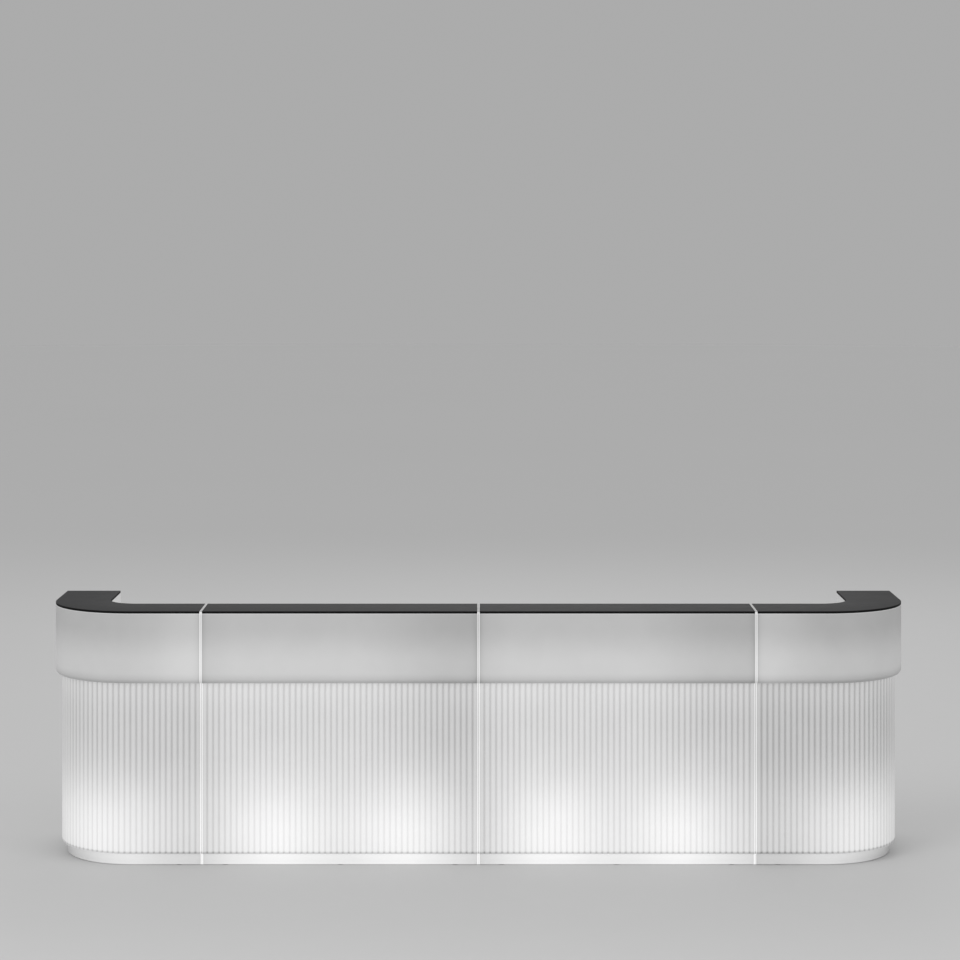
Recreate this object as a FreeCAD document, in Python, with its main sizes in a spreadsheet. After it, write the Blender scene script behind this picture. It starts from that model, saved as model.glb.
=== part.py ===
import FreeCAD, Part
import math
import os
import re

import Sketcher

# Lit bar counter in four modules: a corner at each end and two straight ones between them, with
# a shelf unit behind each straight one.
#
# Frame: +X along the counter, -Y towards the guests, +Z up, origin on the floor at the middle of
# the counter's bounding box.  A module's own drawing starts at its left end, on the plane of its
# front band, on the floor.

V = FreeCAD.Vector
ALONG_X = FreeCAD.Rotation(V(0, 1, 0), 90)
AGAINST_X = FreeCAD.Rotation(V(0, 1, 0), -90)
AGAINST_Y = FreeCAD.Rotation(V(1, 0, 0), 90)
DOWN = FreeCAD.Rotation(V(1, 0, 0), 180)
UP = FreeCAD.Rotation()

os.makedirs("parts", exist_ok=True)
doc = FreeCAD.newDocument("BarCounter")

SIZES = (
    # the counter as a whole
    ("counter_height", 1100, "floor to the top of the counter"),
    ("top_thickness", 10, "laminate of the counter top"),
    ("straight_width", 1190, "width of a straight module"),
    ("body_depth", 240, "front band to rear wall, and width of a corner's arm"),
    ("band_radius", 370, "corner module: outer radius of the band"),
    ("corner_run", 305, "corner module: straight stretch on each side of the bend"),
    # moulded body
    ("wall", 6, "wall of the moulded body"),
    ("band_bottom", 788, "floor to the lower edge of the smooth band"),
    ("band_rounding", 20, "rounding of the band's lower edge"),
    ("rib_setback", 27, "band to the crest of the ribs"),
    ("rib_depth", 7, "crest to valley"),
    ("rib_valley", 3.2, "flat between two ribs"),
    ("rib_root", 2, "how far a rib is drawn into the wall"),
    ("straight_ribs", 47, "ribs on a straight module"),
    ("run_ribs", 12, "ribs on each straight stretch of a corner"),
    ("bend_ribs", 21, "ribs round the bend of a corner"),
    ("plinth_setback", 53, "band to plinth"),
    ("plinth_height", 52, "floor to the lower end of the ribs"),
    ("upstand", 5, "thickness of the rim at each end of a module, level with the top"),
    # clearances
    ("laminate_gap", 0.5, "between a laminate piece and what stands at its end"),
    ("screw_fit", 0.1, "radial clearance of a screw, pin or insert in its hole"),
    # glides under the body
    ("glide_height", 3, "thickness of a glide below the body"),
    ("glide_radius", 18, "radius of a glide"),
    ("glide_pin", 2.5, "radius of a glide's pin"),
    ("glide_inset", 100, "module end to glide"),
    ("glide_front", 80, "band to the front row of glides"),
    ("glide_back", 200, "band to the back row of glides"),
    # screws that hold the counter top from below
    ("top_screw_radius", 3, "shank"),
    ("top_screw_head", 6, "head radius"),
    ("top_screw_head_height", 3, "head height"),
    ("top_screw_grip", 7, "length in the laminate"),
    ("top_screw_inset", 80, "module end to screw"),
    ("top_screw_front", 60, "band to the front row"),
    ("top_screw_back", 190, "band to the back row"),
    # covers in the rear wall
    ("cover_width", 240, "width of a cover"),
    ("cover_height", 180, "height of a cover"),
    ("cover_thickness", 3, "sheet of a cover"),
    ("cover_rounding", 12, "corner rounding of a cover"),
    ("cover_lap", 20, "how far a cover laps over its opening on each side"),
    ("cover_level", 270, "floor to the middle of a cover"),
    ("cover_screw_inset", 10, "cover edge to screw"),
    ("corner_cover_inset", 150, "corner module: seam to the middle of its cover"),
    ("small_screw_radius", 2, "shank of the small screws"),
    ("small_screw_head", 4, "head radius of the small screws"),
    ("small_screw_head_height", 2, "head height of the small screws"),
    ("small_screw_grip", 5, "length of a small screw in what it bites into"),
    # lamps inside
    ("lamp_inset", 320, "straight module: module end to the middle of a lamp"),
    ("lamp_cable", 41, "middle of a lamp to the cable that comes down behind it"),
    ("lamp_base_radius", 48, "plate of the lamp's base"),
    ("lamp_base_thickness", 8, "plate of the lamp's base"),
    ("globe_fit", 0.3, "globe to the holder that it slides over"),
    ("lamp_holder_height", 30, "holder above the plate"),
    ("globe_radius", 35, "outer radius of the globe"),
    ("globe_height", 190, "height of the globe above the plate"),
    ("globe_wall", 2, "wall of the globe"),
    ("lamp_screw_reach", 42, "lamp's middle to its screws"),
    ("cable_radius", 3.5, "mains cable inside the body"),
    ("cable_bend", 25, "bend radius of that cable"),
    ("cable_stub", 5, "straight end of that cable at the inlet"),
    # power inlet with its rocker switch
    ("flange_width", 34, "inlet flange"),
    ("flange_height", 62, "inlet flange"),
    ("flange_thickness", 2, "inlet flange"),
    ("housing_width", 28, "inlet housing behind the cover"),
    ("housing_height", 54, "inlet housing behind the cover"),
    ("housing_depth", 40, "cover's face to the inner end of the inlet housing"),
    ("housing_fit", 0.3, "clearance of the housing in the cover, each side"),
    ("socket_width", 24, "recess for the mains connector"),
    ("socket_height", 16.5, "recess for the mains connector"),
    ("socket_deep", 16, "recess for the mains connector"),
    ("socket_drop", 11, "inlet's middle down to the recess"),
    ("blade_width", 2, "contact blade"),
    ("blade_height", 4, "contact blade"),
    ("blade_length", 12, "contact blade"),
    ("blade_spread", 7, "recess' middle to the outer blades"),
    ("blade_rise", 3, "earth blade above the other two"),
    ("rocker_rise", 14, "inlet's middle up to the rocker"),
    ("rocker_width", 13, "rocker"),
    ("rocker_half", 9.5, "half the height of the rocker"),
    ("rocker_tilt", 8, "tilt of the rocker to either side, in degrees"),
    ("rocker_body", 5, "pivot to the lower side of the rocker, and half its width there"),
    ("rocker_shoulder", 2, "pivot to the shoulder of the rocker"),
    ("rocker_sink", 4, "flange's face down to the pivot"),
    ("rocker_side_gap", 0.5, "rocker to its window, each side"),
    ("rocker_end_gap", 1, "rocker to its window, above and below"),
    ("window_deep", 14, "depth of the rocker's window"),
    ("axle_radius", 1.5, "pivot stub"),
    ("axle_length", 2, "pivot stub beyond the rocker's side"),
    ("axle_fit", 0.05, "radial clearance of the pivot stub"),
    ("axle_hole_deep", 2.5, "pivot hole in the window's side"),
    # plates that join two modules, and their screws and inserts
    ("plate_width", 110, "joining plate along the counter"),
    ("plate_height", 60, "joining plate"),
    ("plate_thickness", 4, "joining plate"),
    ("plate_rounding", 6, "corner rounding of a joining plate"),
    ("plate_low", 430, "floor to the middle of the lower plates"),
    ("plate_drop", 115, "top of the counter down to the middle of the upper plates"),
    ("join_inset", 35, "seam to a joining screw"),
    ("join_half", 15, "plate's middle to a joining screw, up and down"),
    ("join_screw_radius", 4, "M8 shank"),
    ("join_screw_head", 7, "head radius"),
    ("join_screw_head_height", 5, "head height"),
    ("join_screw_grip", 11, "length in the insert"),
    ("insert_radius", 7, "threaded insert"),
    ("insert_length", 14, "threaded insert"),
    # shelf unit behind a straight module
    ("worktop_drop", 220, "top of the counter down to the top of the worktop"),
    ("worktop_depth", 400, "rear wall to the worktop's edge"),
    ("board", 12, "laminate of the shelf unit"),
    ("panel_depth", 385, "rear wall to the edge of the side panels"),
    ("divider_depth", 375, "rear wall to the edge of the divider"),
    ("bottom_depth", 380, "rear wall to the edge of the bottom shelf"),
    ("shelf_depth", 340, "rear wall to the edge of a middle shelf"),
    ("leg_height", 100, "floor to the bottom shelf"),
    ("middle_height", 490, "floor to the underside of the middle shelves"),
    ("notch_gap", 3, "side panel to the joining plate and its screws"),
    ("kick_setback", 45, "bottom shelf's edge to the kick board"),
    ("kick_thickness", 10, "kick board"),
    ("kick_clear", 6, "floor to the kick board"),
    ("leg_radius", 15, "leg"),
    ("leg_flange", 24, "leg's foot and top plate"),
    ("leg_flange_height", 6, "leg's foot and top plate"),
    ("leg_inset", 60, "module end to a leg"),
    ("leg_front", 45, "rear wall to the first row of legs"),
    ("leg_back", 300, "rear wall to the second row of legs"),
    ("pin_radius", 2.5, "shelf pin"),
    ("pin_in", 5, "shelf pin in its panel"),
    ("pin_out", 10, "shelf pin under the shelf"),
    ("pin_front", 60, "rear wall to the first pins"),
    ("pin_back", 290, "rear wall to the second pins"),
    ("bracket_leg", 40, "leg of an angle bracket"),
    ("bracket_wide", 30, "width of an angle bracket"),
    ("bracket_thickness", 3, "steel of an angle bracket"),
    ("bracket_hole", 25, "bracket's corner to its screw"),
    ("bracket_inset", 150, "panel or divider to a wall bracket"),
    ("panel_bracket_back", 330, "rear wall to the brackets on the panels"),
    ("bracket_grip", 8, "length of a bracket screw in what it bites into"),
    ("panel_screw_head", 3.5, "countersunk head of a panel screw"),
    ("panel_screw_head_height", 2.5, "countersunk head of a panel screw"),
    ("panel_screw_length", 32, "panel screw"),
    ("panel_screw_front", 90, "rear wall to the first panel screw"),
    ("panel_screw_back", 250, "rear wall to the second panel screw"),
)

sheet = doc.addObject("Spreadsheet::Sheet", "Sizes")
for row, (alias, size, meaning) in enumerate(SIZES, start=1):
    sheet.set(f"A{row}", meaning)
    sheet.set(f"B{row}", str(size))
    sheet.setAlias(f"B{row}", alias)
doc.recompute()
ALIASES = {alias for alias, size, meaning in SIZES}

# Lengths that follow from the sheet, written once.
CORNER = "(band_radius + corner_run)"
BODY_TOP = "(counter_height - top_thickness)"
INSIDE_FLOOR = "(glide_height + wall)"
VALLEY = "(rib_setback + rib_depth)"
COVER_FACE = "(body_depth + cover_thickness)"
HALF_WIDTH = "(straight_width / 2)"
RUN_PITCH = "(corner_run / run_ribs)"
BEND_STEP = "(90 / bend_ribs)"
BEND_PITCH = f"((band_radius - rib_setback) * pi / 180 * {BEND_STEP})"
STRAIGHT_PITCH = "(straight_width / straight_ribs)"
CABLE_DROP = f"({COVER_FACE} - housing_depth - cable_stub - cable_bend)"
LAMP_FRONT = f"({CABLE_DROP} - lamp_cable)"
PIVOT_Y = f"({COVER_FACE} + flange_thickness - rocker_sink)"
PIVOT_Z = "(cover_level + rocker_rise)"
PANEL_IN = "(laminate_gap + board)"
UNDER_WORKTOP = "(counter_height - worktop_drop - board)"
PLATE_HEIGHTS = ("plate_low", "(counter_height - plate_drop)")
SHELF_TOP = "(leg_height + board)"
DIAGONAL = "sqrt(0.5)"
SCREW_PAST_BOARD = "(panel_screw_head_height + panel_screw_length - board + laminate_gap)"


def tied(text):
    """A formula in the sheet's words, written so that FreeCAD finds the cells."""
    def cell(word):
        return "Sizes." + word.group() if word.group() in ALIASES else word.group()
    return re.sub(r"[a-z][a-z_]*", cell, str(text))


def value(text):
    """The number that a formula gives now."""
    return float(sheet.evalExpression(tied(text)))


def tie(thing, formulas):
    """Bind properties of an object to formulas."""
    for name, text in formulas.items():
        thing.setExpression(name, tied(text))


def place(thing, x, y, z, rotation=UP):
    """Put an object at a spot in the counter's frame."""
    thing.Placement = FreeCAD.Placement(V(0, 0, 0), rotation)
    tie(thing, {"Placement.Base.x": x, "Placement.Base.y": y, "Placement.Base.z": z})
    return thing


class Module:
    """Where a module stands; side is -1 for a piece that is mirrored to the right end."""

    def __init__(self, name, left, corner=False, side=1):
        self.name = name
        self.left = left
        self.corner = corner
        self.side = side

    def x(self, text):
        return f"{self.side} * ({self.left} + {text})"

    def y(self, text):
        return f"{text} - {CORNER} / 2"

    def put(self, thing, x="0", y="0", z="0", rotation=UP):
        return place(thing, self.x(x), self.y(y), z, rotation)


LEFT = Module("left_straight", "-straight_width")
RIGHT = Module("right_straight", "0")
LEFT_CORNER = Module("left_corner", f"-(straight_width + {CORNER})", corner=True)
RIGHT_CORNER = Module("right_corner", f"-(straight_width + {CORNER})", corner=True, side=-1)
STRAIGHTS = (LEFT, RIGHT)
MODULES = (LEFT_CORNER, LEFT, RIGHT, RIGHT_CORNER)


# ---- drawing helpers ---------------------------------------------------------------------------

def new_body(name):
    return doc.addObject("PartDesign::Body", name)


def new_sketch(body, name, role, offset="0"):
    """A sketch on one of the body's own planes, moved along that plane's normal."""
    drawing = body.newObject("Sketcher::SketchObject", name)
    plane = [item for item in body.Origin.OriginFeatures if item.Role == role][0]
    drawing.AttachmentSupport = (plane, [""])
    drawing.MapMode = "FlatFace"
    tie(drawing, {"AttachmentOffset.Base.z": offset})
    return drawing


def pin(drawing, edge, end, axis, text):
    """Tie one coordinate of a point in a sketch to a formula."""
    number = drawing.addConstraint(
        Sketcher.Constraint("Distance" + axis, edge, end, value(text)))
    drawing.setExpression(f"Constraints[{number}]", tied(text))


def draw(drawing, corners, closed=True):
    """Draw an outline; a corner is (x, y), or (x, y, centre x, centre y) where an arc leaves it."""
    spots = [V(value(corner[0]), value(corner[1]), 0) for corner in corners]
    count = len(corners) if closed else len(corners) - 1
    ends = []
    for index in range(count):
        start = spots[index]
        stop = spots[(index + 1) % len(spots)]
        arc = len(corners[index]) == 4
        turn = 1
        if arc:
            centre = V(value(corners[index][2]), value(corners[index][3]), 0)
            radius = (start - centre).Length
            middle = centre + ((start + stop) / 2 - centre).normalize() * radius
            turn = (start - centre).cross(stop - centre).z
            edge = drawing.addGeometry(Part.Arc(start, middle, stop), False)
        else:
            edge = drawing.addGeometry(Part.LineSegment(start, stop), False)
        first, last = (1, 2) if turn > 0 else (2, 1)
        ends.append((edge, first, last))
        pin(drawing, edge, first, "X", corners[index][0])
        pin(drawing, edge, first, "Y", corners[index][1])
        if arc:
            flat = abs(start.x - stop.x) > abs(start.y - stop.y)
            pin(drawing, edge, 3, "Y" if flat else "X", corners[index][3 if flat else 2])
    for index in range(count if closed else count - 1):
        edge, first, last = ends[index]
        following, start, stop = ends[(index + 1) % count]
        drawing.addConstraint(Sketcher.Constraint("Coincident", edge, last, following, start))
    if not closed:
        edge, first, last = ends[-1]
        pin(drawing, edge, last, "X", corners[-1][0])
        pin(drawing, edge, last, "Y", corners[-1][1])


def draw_circle(drawing, x, y, radius):
    edge = drawing.addGeometry(Part.Circle(V(value(x), value(y), 0), V(0, 0, 1), value(radius)))
    pin(drawing, edge, 3, "X", x)
    pin(drawing, edge, 3, "Y", y)
    number = drawing.addConstraint(Sketcher.Constraint("Radius", edge, value(radius)))
    drawing.setExpression(f"Constraints[{number}]", tied(radius))


def draw_box(drawing, low_x, low_y, high_x, high_y):
    draw(drawing, ((low_x, low_y), (high_x, low_y), (high_x, high_y), (low_x, high_y)))


def draw_rounded(drawing, x, y, width, tall, radius):
    """A rectangle about a middle, with rounded corners."""
    left, right = f"{x} - {width} / 2", f"{x} + {width} / 2"
    low, high = f"{y} - {tall} / 2", f"{y} + {tall} / 2"
    draw(drawing, (
        (f"{left} + {radius}", low),
        (f"{right} - {radius}", low, f"{right} - {radius}", f"{low} + {radius}"),
        (right, f"{low} + {radius}"),
        (right, f"{high} - {radius}", f"{right} - {radius}", f"{high} - {radius}"),
        (f"{right} - {radius}", high),
        (f"{left} + {radius}", high, f"{left} + {radius}", f"{high} - {radius}"),
        (left, f"{high} - {radius}"),
        (left, f"{low} + {radius}", f"{left} + {radius}", f"{low} + {radius}"),
    ))


def pad(body, drawing, length, reverse=False):
    feature = body.newObject("PartDesign::Pad", drawing.Name + "_pad")
    feature.Profile = drawing
    feature.Reversed = reverse
    tie(feature, {"Length": length})
    return feature


def pocket(body, drawing, length, reverse=False):
    feature = body.newObject("PartDesign::Pocket", drawing.Name + "_cut")
    feature.Profile = drawing
    feature.Reversed = reverse
    tie(feature, {"Length": length})
    return feature


def turned(name, profile):
    """A round piece about its own Z axis, from its half section of (radius, height) corners."""
    body = new_body(name)
    drawing = new_sketch(body, name + "_half_section", "XZ_Plane")
    draw(drawing, profile)
    feature = body.newObject("PartDesign::Revolution", name + "_turn")
    feature.Profile = drawing
    feature.ReferenceAxis = (drawing, ["V_Axis"])
    feature.Angle = 360
    return body


def screw(name, radius, head, head_height, length):
    """A screw along +Z, with the underside of its head at zero."""
    return turned(name, (
        ("0", f"-({head_height})"), (head, f"-({head_height})"), (head, "0"),
        (radius, "0"), (radius, length), ("0", length)))


pieces = {}


def keep(name, thing):
    """Name a finished sub-part, which is written out at the end."""
    thing.Label = name
    pieces[name] = thing
    return thing


def copies(name, master, spots):
    """One node of like pieces: a linked copy of the master at each (module, x, y, z, rotation)."""
    links = []
    for number, (module, x, y, z, rotation) in enumerate(spots):
        link = doc.addObject("App::Link", f"{name}_{number + 1}")
        link.LinkedObject = master
        link.LinkTransform = False
        links.append(module.put(link, x, y, z, rotation))
    group = doc.addObject("Part::Compound", name)
    group.Links = links
    return keep(name, group)


def mirrored(source_name, name):
    """The right end's piece: the left end's piece mirrored across the counter's middle plane."""
    mirror = doc.addObject("Part::Mirroring", name)
    mirror.Source = pieces[source_name]
    mirror.Normal = V(1, 0, 0)
    mirror.Base = V(0, 0, 0)
    return keep(name, mirror)


# ---- where the fasteners and glides sit --------------------------------------------------------

def six_spots(corner, inset, front, back):
    """Three pairs of spots, (x, y) in the module: both ends, and the middle or the bend."""
    if not corner:
        across = (inset, HALF_WIDTH, f"straight_width - {inset}")
        return [(x, y) for x in across for y in (front, back)]
    spots = [(f"{CORNER} - {inset}", y) for y in (front, back)]
    spots += [(y, f"{CORNER} - {inset}") for y in (front, back)]
    bend = [f"band_radius - (band_radius - {y}) * {DIAGONAL}" for y in (front, back)]
    return spots + [(y, y) for y in bend]


def top_screw_spots(corner):
    return six_spots(corner, "top_screw_inset", "top_screw_front", "top_screw_back")


def glide_spots(corner):
    return six_spots(corner, "glide_inset", "glide_front", "glide_back")


def cover_spots(corner):
    """Middle of each cover along the module's rear wall."""
    if corner:
        return [f"{CORNER} - corner_cover_inset"]
    return ["lamp_inset", "straight_width - lamp_inset"]


def cover_screw_spots(x):
    across = "(cover_width / 2 - cover_screw_inset)"
    up = "(cover_height / 2 - cover_screw_inset)"
    return [(f"{x} {a} {across}", f"cover_level {b} {up}") for a in "-+" for b in "-+"]


def join_heights():
    return [f"{z} {sign} join_half" for z in PLATE_HEIGHTS for sign in "-+"]


def join_spots(corner):
    """Inserts in the rear wall, (x, z): by both seams, or by a corner's one seam there."""
    across = [f"{CORNER} - join_inset"] if corner else ["join_inset", "straight_width - join_inset"]
    return [(x, z) for x in across for z in join_heights()]


def lamp_spots(corner):
    if corner:
        bend = f"band_radius - (band_radius - {LAMP_FRONT}) * {DIAGONAL}"
        return [(bend, bend)]
    return [("lamp_inset", LAMP_FRONT), ("straight_width - lamp_inset", LAMP_FRONT)]


def lamp_screw_spots(corner):
    return [(f"{x} {sign} lamp_screw_reach", y) for x, y in lamp_spots(corner) for sign in "-+"]


def bracket_spots():
    """Brackets that hold the worktop to the rear wall, along a straight module."""
    return [f"{PANEL_IN} + bracket_inset", f"{HALF_WIDTH} - bracket_inset",
            f"{HALF_WIDTH} + bracket_inset", f"straight_width - {PANEL_IN} - bracket_inset"]


# ---- moulded bodies ----------------------------------------------------------------------------

def shell_section(drawing, skin):
    """Side view of the body, front to the left, all drawn in by skin: 0 outside, the wall inside."""
    band = f"band_rounding - {skin}"
    draw(drawing, (
        (f"plinth_setback + {skin}", f"glide_height + {skin}"),
        (f"body_depth - {skin}", f"glide_height + {skin}"),
        (f"body_depth - {skin}", f"{BODY_TOP} - {skin}"),
        (skin, f"{BODY_TOP} - {skin}"),
        (skin, "band_bottom + band_rounding", "band_rounding", "band_bottom + band_rounding"),
        ("band_rounding", f"band_bottom + band_rounding - ({band})"),
        (f"{VALLEY} + {skin}", f"band_bottom + {skin}"),
        (f"{VALLEY} + {skin}", f"plinth_height + {skin}"),
        (f"plinth_setback + {skin}", f"plinth_height + {skin}"),
    ))


def draw_rib(drawing, pitch, rise):
    """Plan of one rib: an arc over its chord, drawn a little into the wall behind it."""
    half = f"(({pitch} - rib_valley) / 2)"
    centre = f"{rise} + ({half} * {half} - rib_depth * rib_depth) / (2 * rib_depth)"
    draw(drawing, (
        (f"-{half}", f"{rise} + rib_root"),
        (f"-{half}", rise, "0", centre),
        (half, rise),
        (half, f"{rise} + rib_root"),
    ))


def rib_row(body, name, x, y, angle, pitch, count, rise="0", bend=False):
    """A row of ribs from the first one's spot, along a straight wall or round the bend."""
    drawing = new_sketch(body, name, "XY_Plane", "plinth_height")
    turn = FreeCAD.Rotation(V(0, 0, 1), value(angle))
    drawing.AttachmentOffset = FreeCAD.Placement(V(0, 0, 0), turn)
    tie(drawing, {"AttachmentOffset.Base.x": x, "AttachmentOffset.Base.y": y,
                  "AttachmentOffset.Base.z": "plinth_height"})
    draw_rib(drawing, pitch, rise)
    rib = pad(body, drawing, "band_bottom - plinth_height")
    doc.recompute()
    kind = "PolarPattern" if bend else "LinearPattern"
    pattern = body.newObject("PartDesign::" + kind, name + "_row")
    pattern.Originals = [rib]
    tie(pattern, {"Occurrences": count})
    if bend:
        pattern.Axis = (drawing, ["N_Axis"])
        pattern.Reversed = True
        tie(pattern, {"Angle": f"{BEND_STEP} * ({count} - 1)"})
    else:
        pattern.Direction = (drawing, ["H_Axis"])
        tie(pattern, {"Length": f"{pitch} * ({count} - 1)"})
    body.Tip = pattern


def bore_shell(body, name, corner):
    """The openings and holes in a body's rear wall, top and floor."""
    rear = new_sketch(body, name + "_rear_openings", "XZ_Plane", "-body_depth")
    for x in cover_spots(corner):
        draw_rounded(rear, x, "cover_level", "(cover_width - 2 * cover_lap)",
                     "(cover_height - 2 * cover_lap)", "cover_rounding")
        for spot_x, spot_z in cover_screw_spots(x):
            draw_circle(rear, spot_x, spot_z, "small_screw_radius + screw_fit")
    for x, z in join_spots(corner):
        draw_circle(rear, x, z, "insert_radius + screw_fit")
    if not corner:
        for x in bracket_spots():
            draw_circle(rear, x, f"{UNDER_WORKTOP} - bracket_hole",
                        "small_screw_radius + screw_fit")
    pocket(body, rear, "wall", reverse=True)
    if corner:
        arm = new_sketch(body, name + "_arm_inserts", "YZ_Plane", "body_depth")
        for z in join_heights():
            draw_circle(arm, f"{CORNER} - join_inset", z, "insert_radius + screw_fit")
        pocket(body, arm, "wall")
    top = new_sketch(body, name + "_top_holes", "XY_Plane", BODY_TOP)
    for x, y in top_screw_spots(corner):
        draw_circle(top, x, y, "top_screw_radius + screw_fit")
    pocket(body, top, "wall")
    floor = new_sketch(body, name + "_floor_holes", "XY_Plane", INSIDE_FLOOR)
    for x, y in glide_spots(corner):
        draw_circle(floor, x, y, "glide_pin + screw_fit")
    for x, y in lamp_screw_spots(corner):
        draw_circle(floor, x, y, "small_screw_radius + screw_fit")
    pocket(body, floor, "wall")


def straight_body(module):
    name = module.name + "_body"
    body = new_body(name)
    section = new_sketch(body, name + "_section", "YZ_Plane")
    shell_section(section, "0")
    pad(body, section, "straight_width")
    rims = new_sketch(body, name + "_rims", "XY_Plane", BODY_TOP)
    draw_box(rims, "0", "0", "upstand", "body_depth")
    draw_box(rims, "straight_width - upstand", "0", "straight_width", "body_depth")
    pad(body, rims, "top_thickness")
    doc.recompute()
    hollow = new_sketch(body, name + "_hollow", "YZ_Plane", "wall")
    shell_section(hollow, "wall")
    pocket(body, hollow, "straight_width - 2 * wall", reverse=True)
    rib_row(body, name + "_rib", f"{STRAIGHT_PITCH} / 2", VALLEY, "0", STRAIGHT_PITCH,
            "straight_ribs")
    bore_shell(body, name, corner=False)
    module.put(body)
    return keep(name, body)


def bend_path(body, name, inset):
    """The corner module's plan line along the band: a run, the quarter bend and the arm."""
    path = new_sketch(body, name, "XY_Plane")
    draw(path, (
        (f"{CORNER} - {inset}", "0"),
        ("band_radius", "0", "band_radius", "band_radius"),
        ("0", "band_radius"),
        ("0", f"{CORNER} - {inset}"),
    ), closed=False)
    return path


def bend_sweep(body, name, kind, inset, section):
    """Carry a side view round the corner, starting at the seam less the inset."""
    path = bend_path(body, name + "_path", inset)
    drawing = new_sketch(body, name, "YZ_Plane", f"{CORNER} - {inset}")
    section(drawing)
    doc.recompute()
    sweep = body.newObject("PartDesign::" + kind, name + "_sweep")
    sweep.Profile = drawing
    sweep.Spine = (path, ["Edge1", "Edge2", "Edge3"])
    body.Tip = sweep
    return sweep


def corner_body(module):
    name = module.name + "_body"
    body = new_body(name)
    bend_sweep(body, name + "_section", "AdditivePipe", "0",
               lambda drawing: shell_section(drawing, "0"))
    rims = new_sketch(body, name + "_rims", "XY_Plane", BODY_TOP)
    draw_box(rims, f"{CORNER} - upstand", "0", CORNER, "body_depth")
    draw_box(rims, "0", f"{CORNER} - upstand", "body_depth", CORNER)
    pad(body, rims, "top_thickness")
    doc.recompute()
    bend_sweep(body, name + "_hollow", "SubtractivePipe", "wall",
               lambda drawing: shell_section(drawing, "wall"))
    rib_row(body, name + "_front_rib", f"band_radius + {RUN_PITCH} / 2", VALLEY, "0",
            RUN_PITCH, "run_ribs")
    rib_row(body, name + "_arm_rib", VALLEY, f"{CORNER} - {RUN_PITCH} / 2", "-90",
            RUN_PITCH, "run_ribs")
    rib_row(body, name + "_bend_rib", "band_radius", "band_radius", f"-{BEND_STEP} / 2",
            BEND_PITCH, "bend_ribs", rise=f"-(band_radius - {VALLEY})", bend=True)
    bore_shell(body, name, corner=True)
    module.put(body)
    return keep(name, body)


# ---- counter tops ------------------------------------------------------------------------------

def bore_top(body, name, corner):
    holes = new_sketch(body, name + "_holes", "XY_Plane", BODY_TOP)
    for x, y in top_screw_spots(corner):
        draw_circle(holes, x, y, "top_screw_radius + screw_fit")
    pocket(body, holes, "top_screw_grip + laminate_gap", reverse=True)


def straight_top(module):
    name = module.name + "_top"
    body = new_body(name)
    plan = new_sketch(body, name + "_plan", "XY_Plane", BODY_TOP)
    draw_box(plan, "upstand + laminate_gap", "0",
             "straight_width - upstand - laminate_gap", "body_depth")
    pad(body, plan, "top_thickness")
    doc.recompute()
    bore_top(body, name, corner=False)
    module.put(body)
    return keep(name, body)


def corner_top(module):
    name = module.name + "_top"
    body = new_body(name)
    bend_sweep(body, name + "_section", "AdditivePipe", "(upstand + laminate_gap)",
               lambda drawing: draw_box(drawing, "0", BODY_TOP, "body_depth", "counter_height"))
    doc.recompute()
    bore_top(body, name, corner=True)
    module.put(body)
    return keep(name, body)


# ---- covers, inlet and rocker ------------------------------------------------------------------

def cover(module, name, x, with_inlet):
    """A sheet over an opening in the rear wall."""
    body = new_body(name)
    face = new_sketch(body, name + "_face", "XZ_Plane", f"-{COVER_FACE}")
    draw_rounded(face, x, "cover_level", "cover_width", "cover_height", "cover_rounding")
    for spot_x, spot_z in cover_screw_spots(x):
        draw_circle(face, spot_x, spot_z, "small_screw_radius + screw_fit")
    if with_inlet:
        half = "(housing_width / 2 + housing_fit)"
        tall = "(housing_height / 2 + housing_fit)"
        draw_box(face, f"{x} - {half}", f"cover_level - {tall}",
                 f"{x} + {half}", f"cover_level + {tall}")
    pad(body, face, "cover_thickness")
    module.put(body)
    return keep(name, body)


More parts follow.
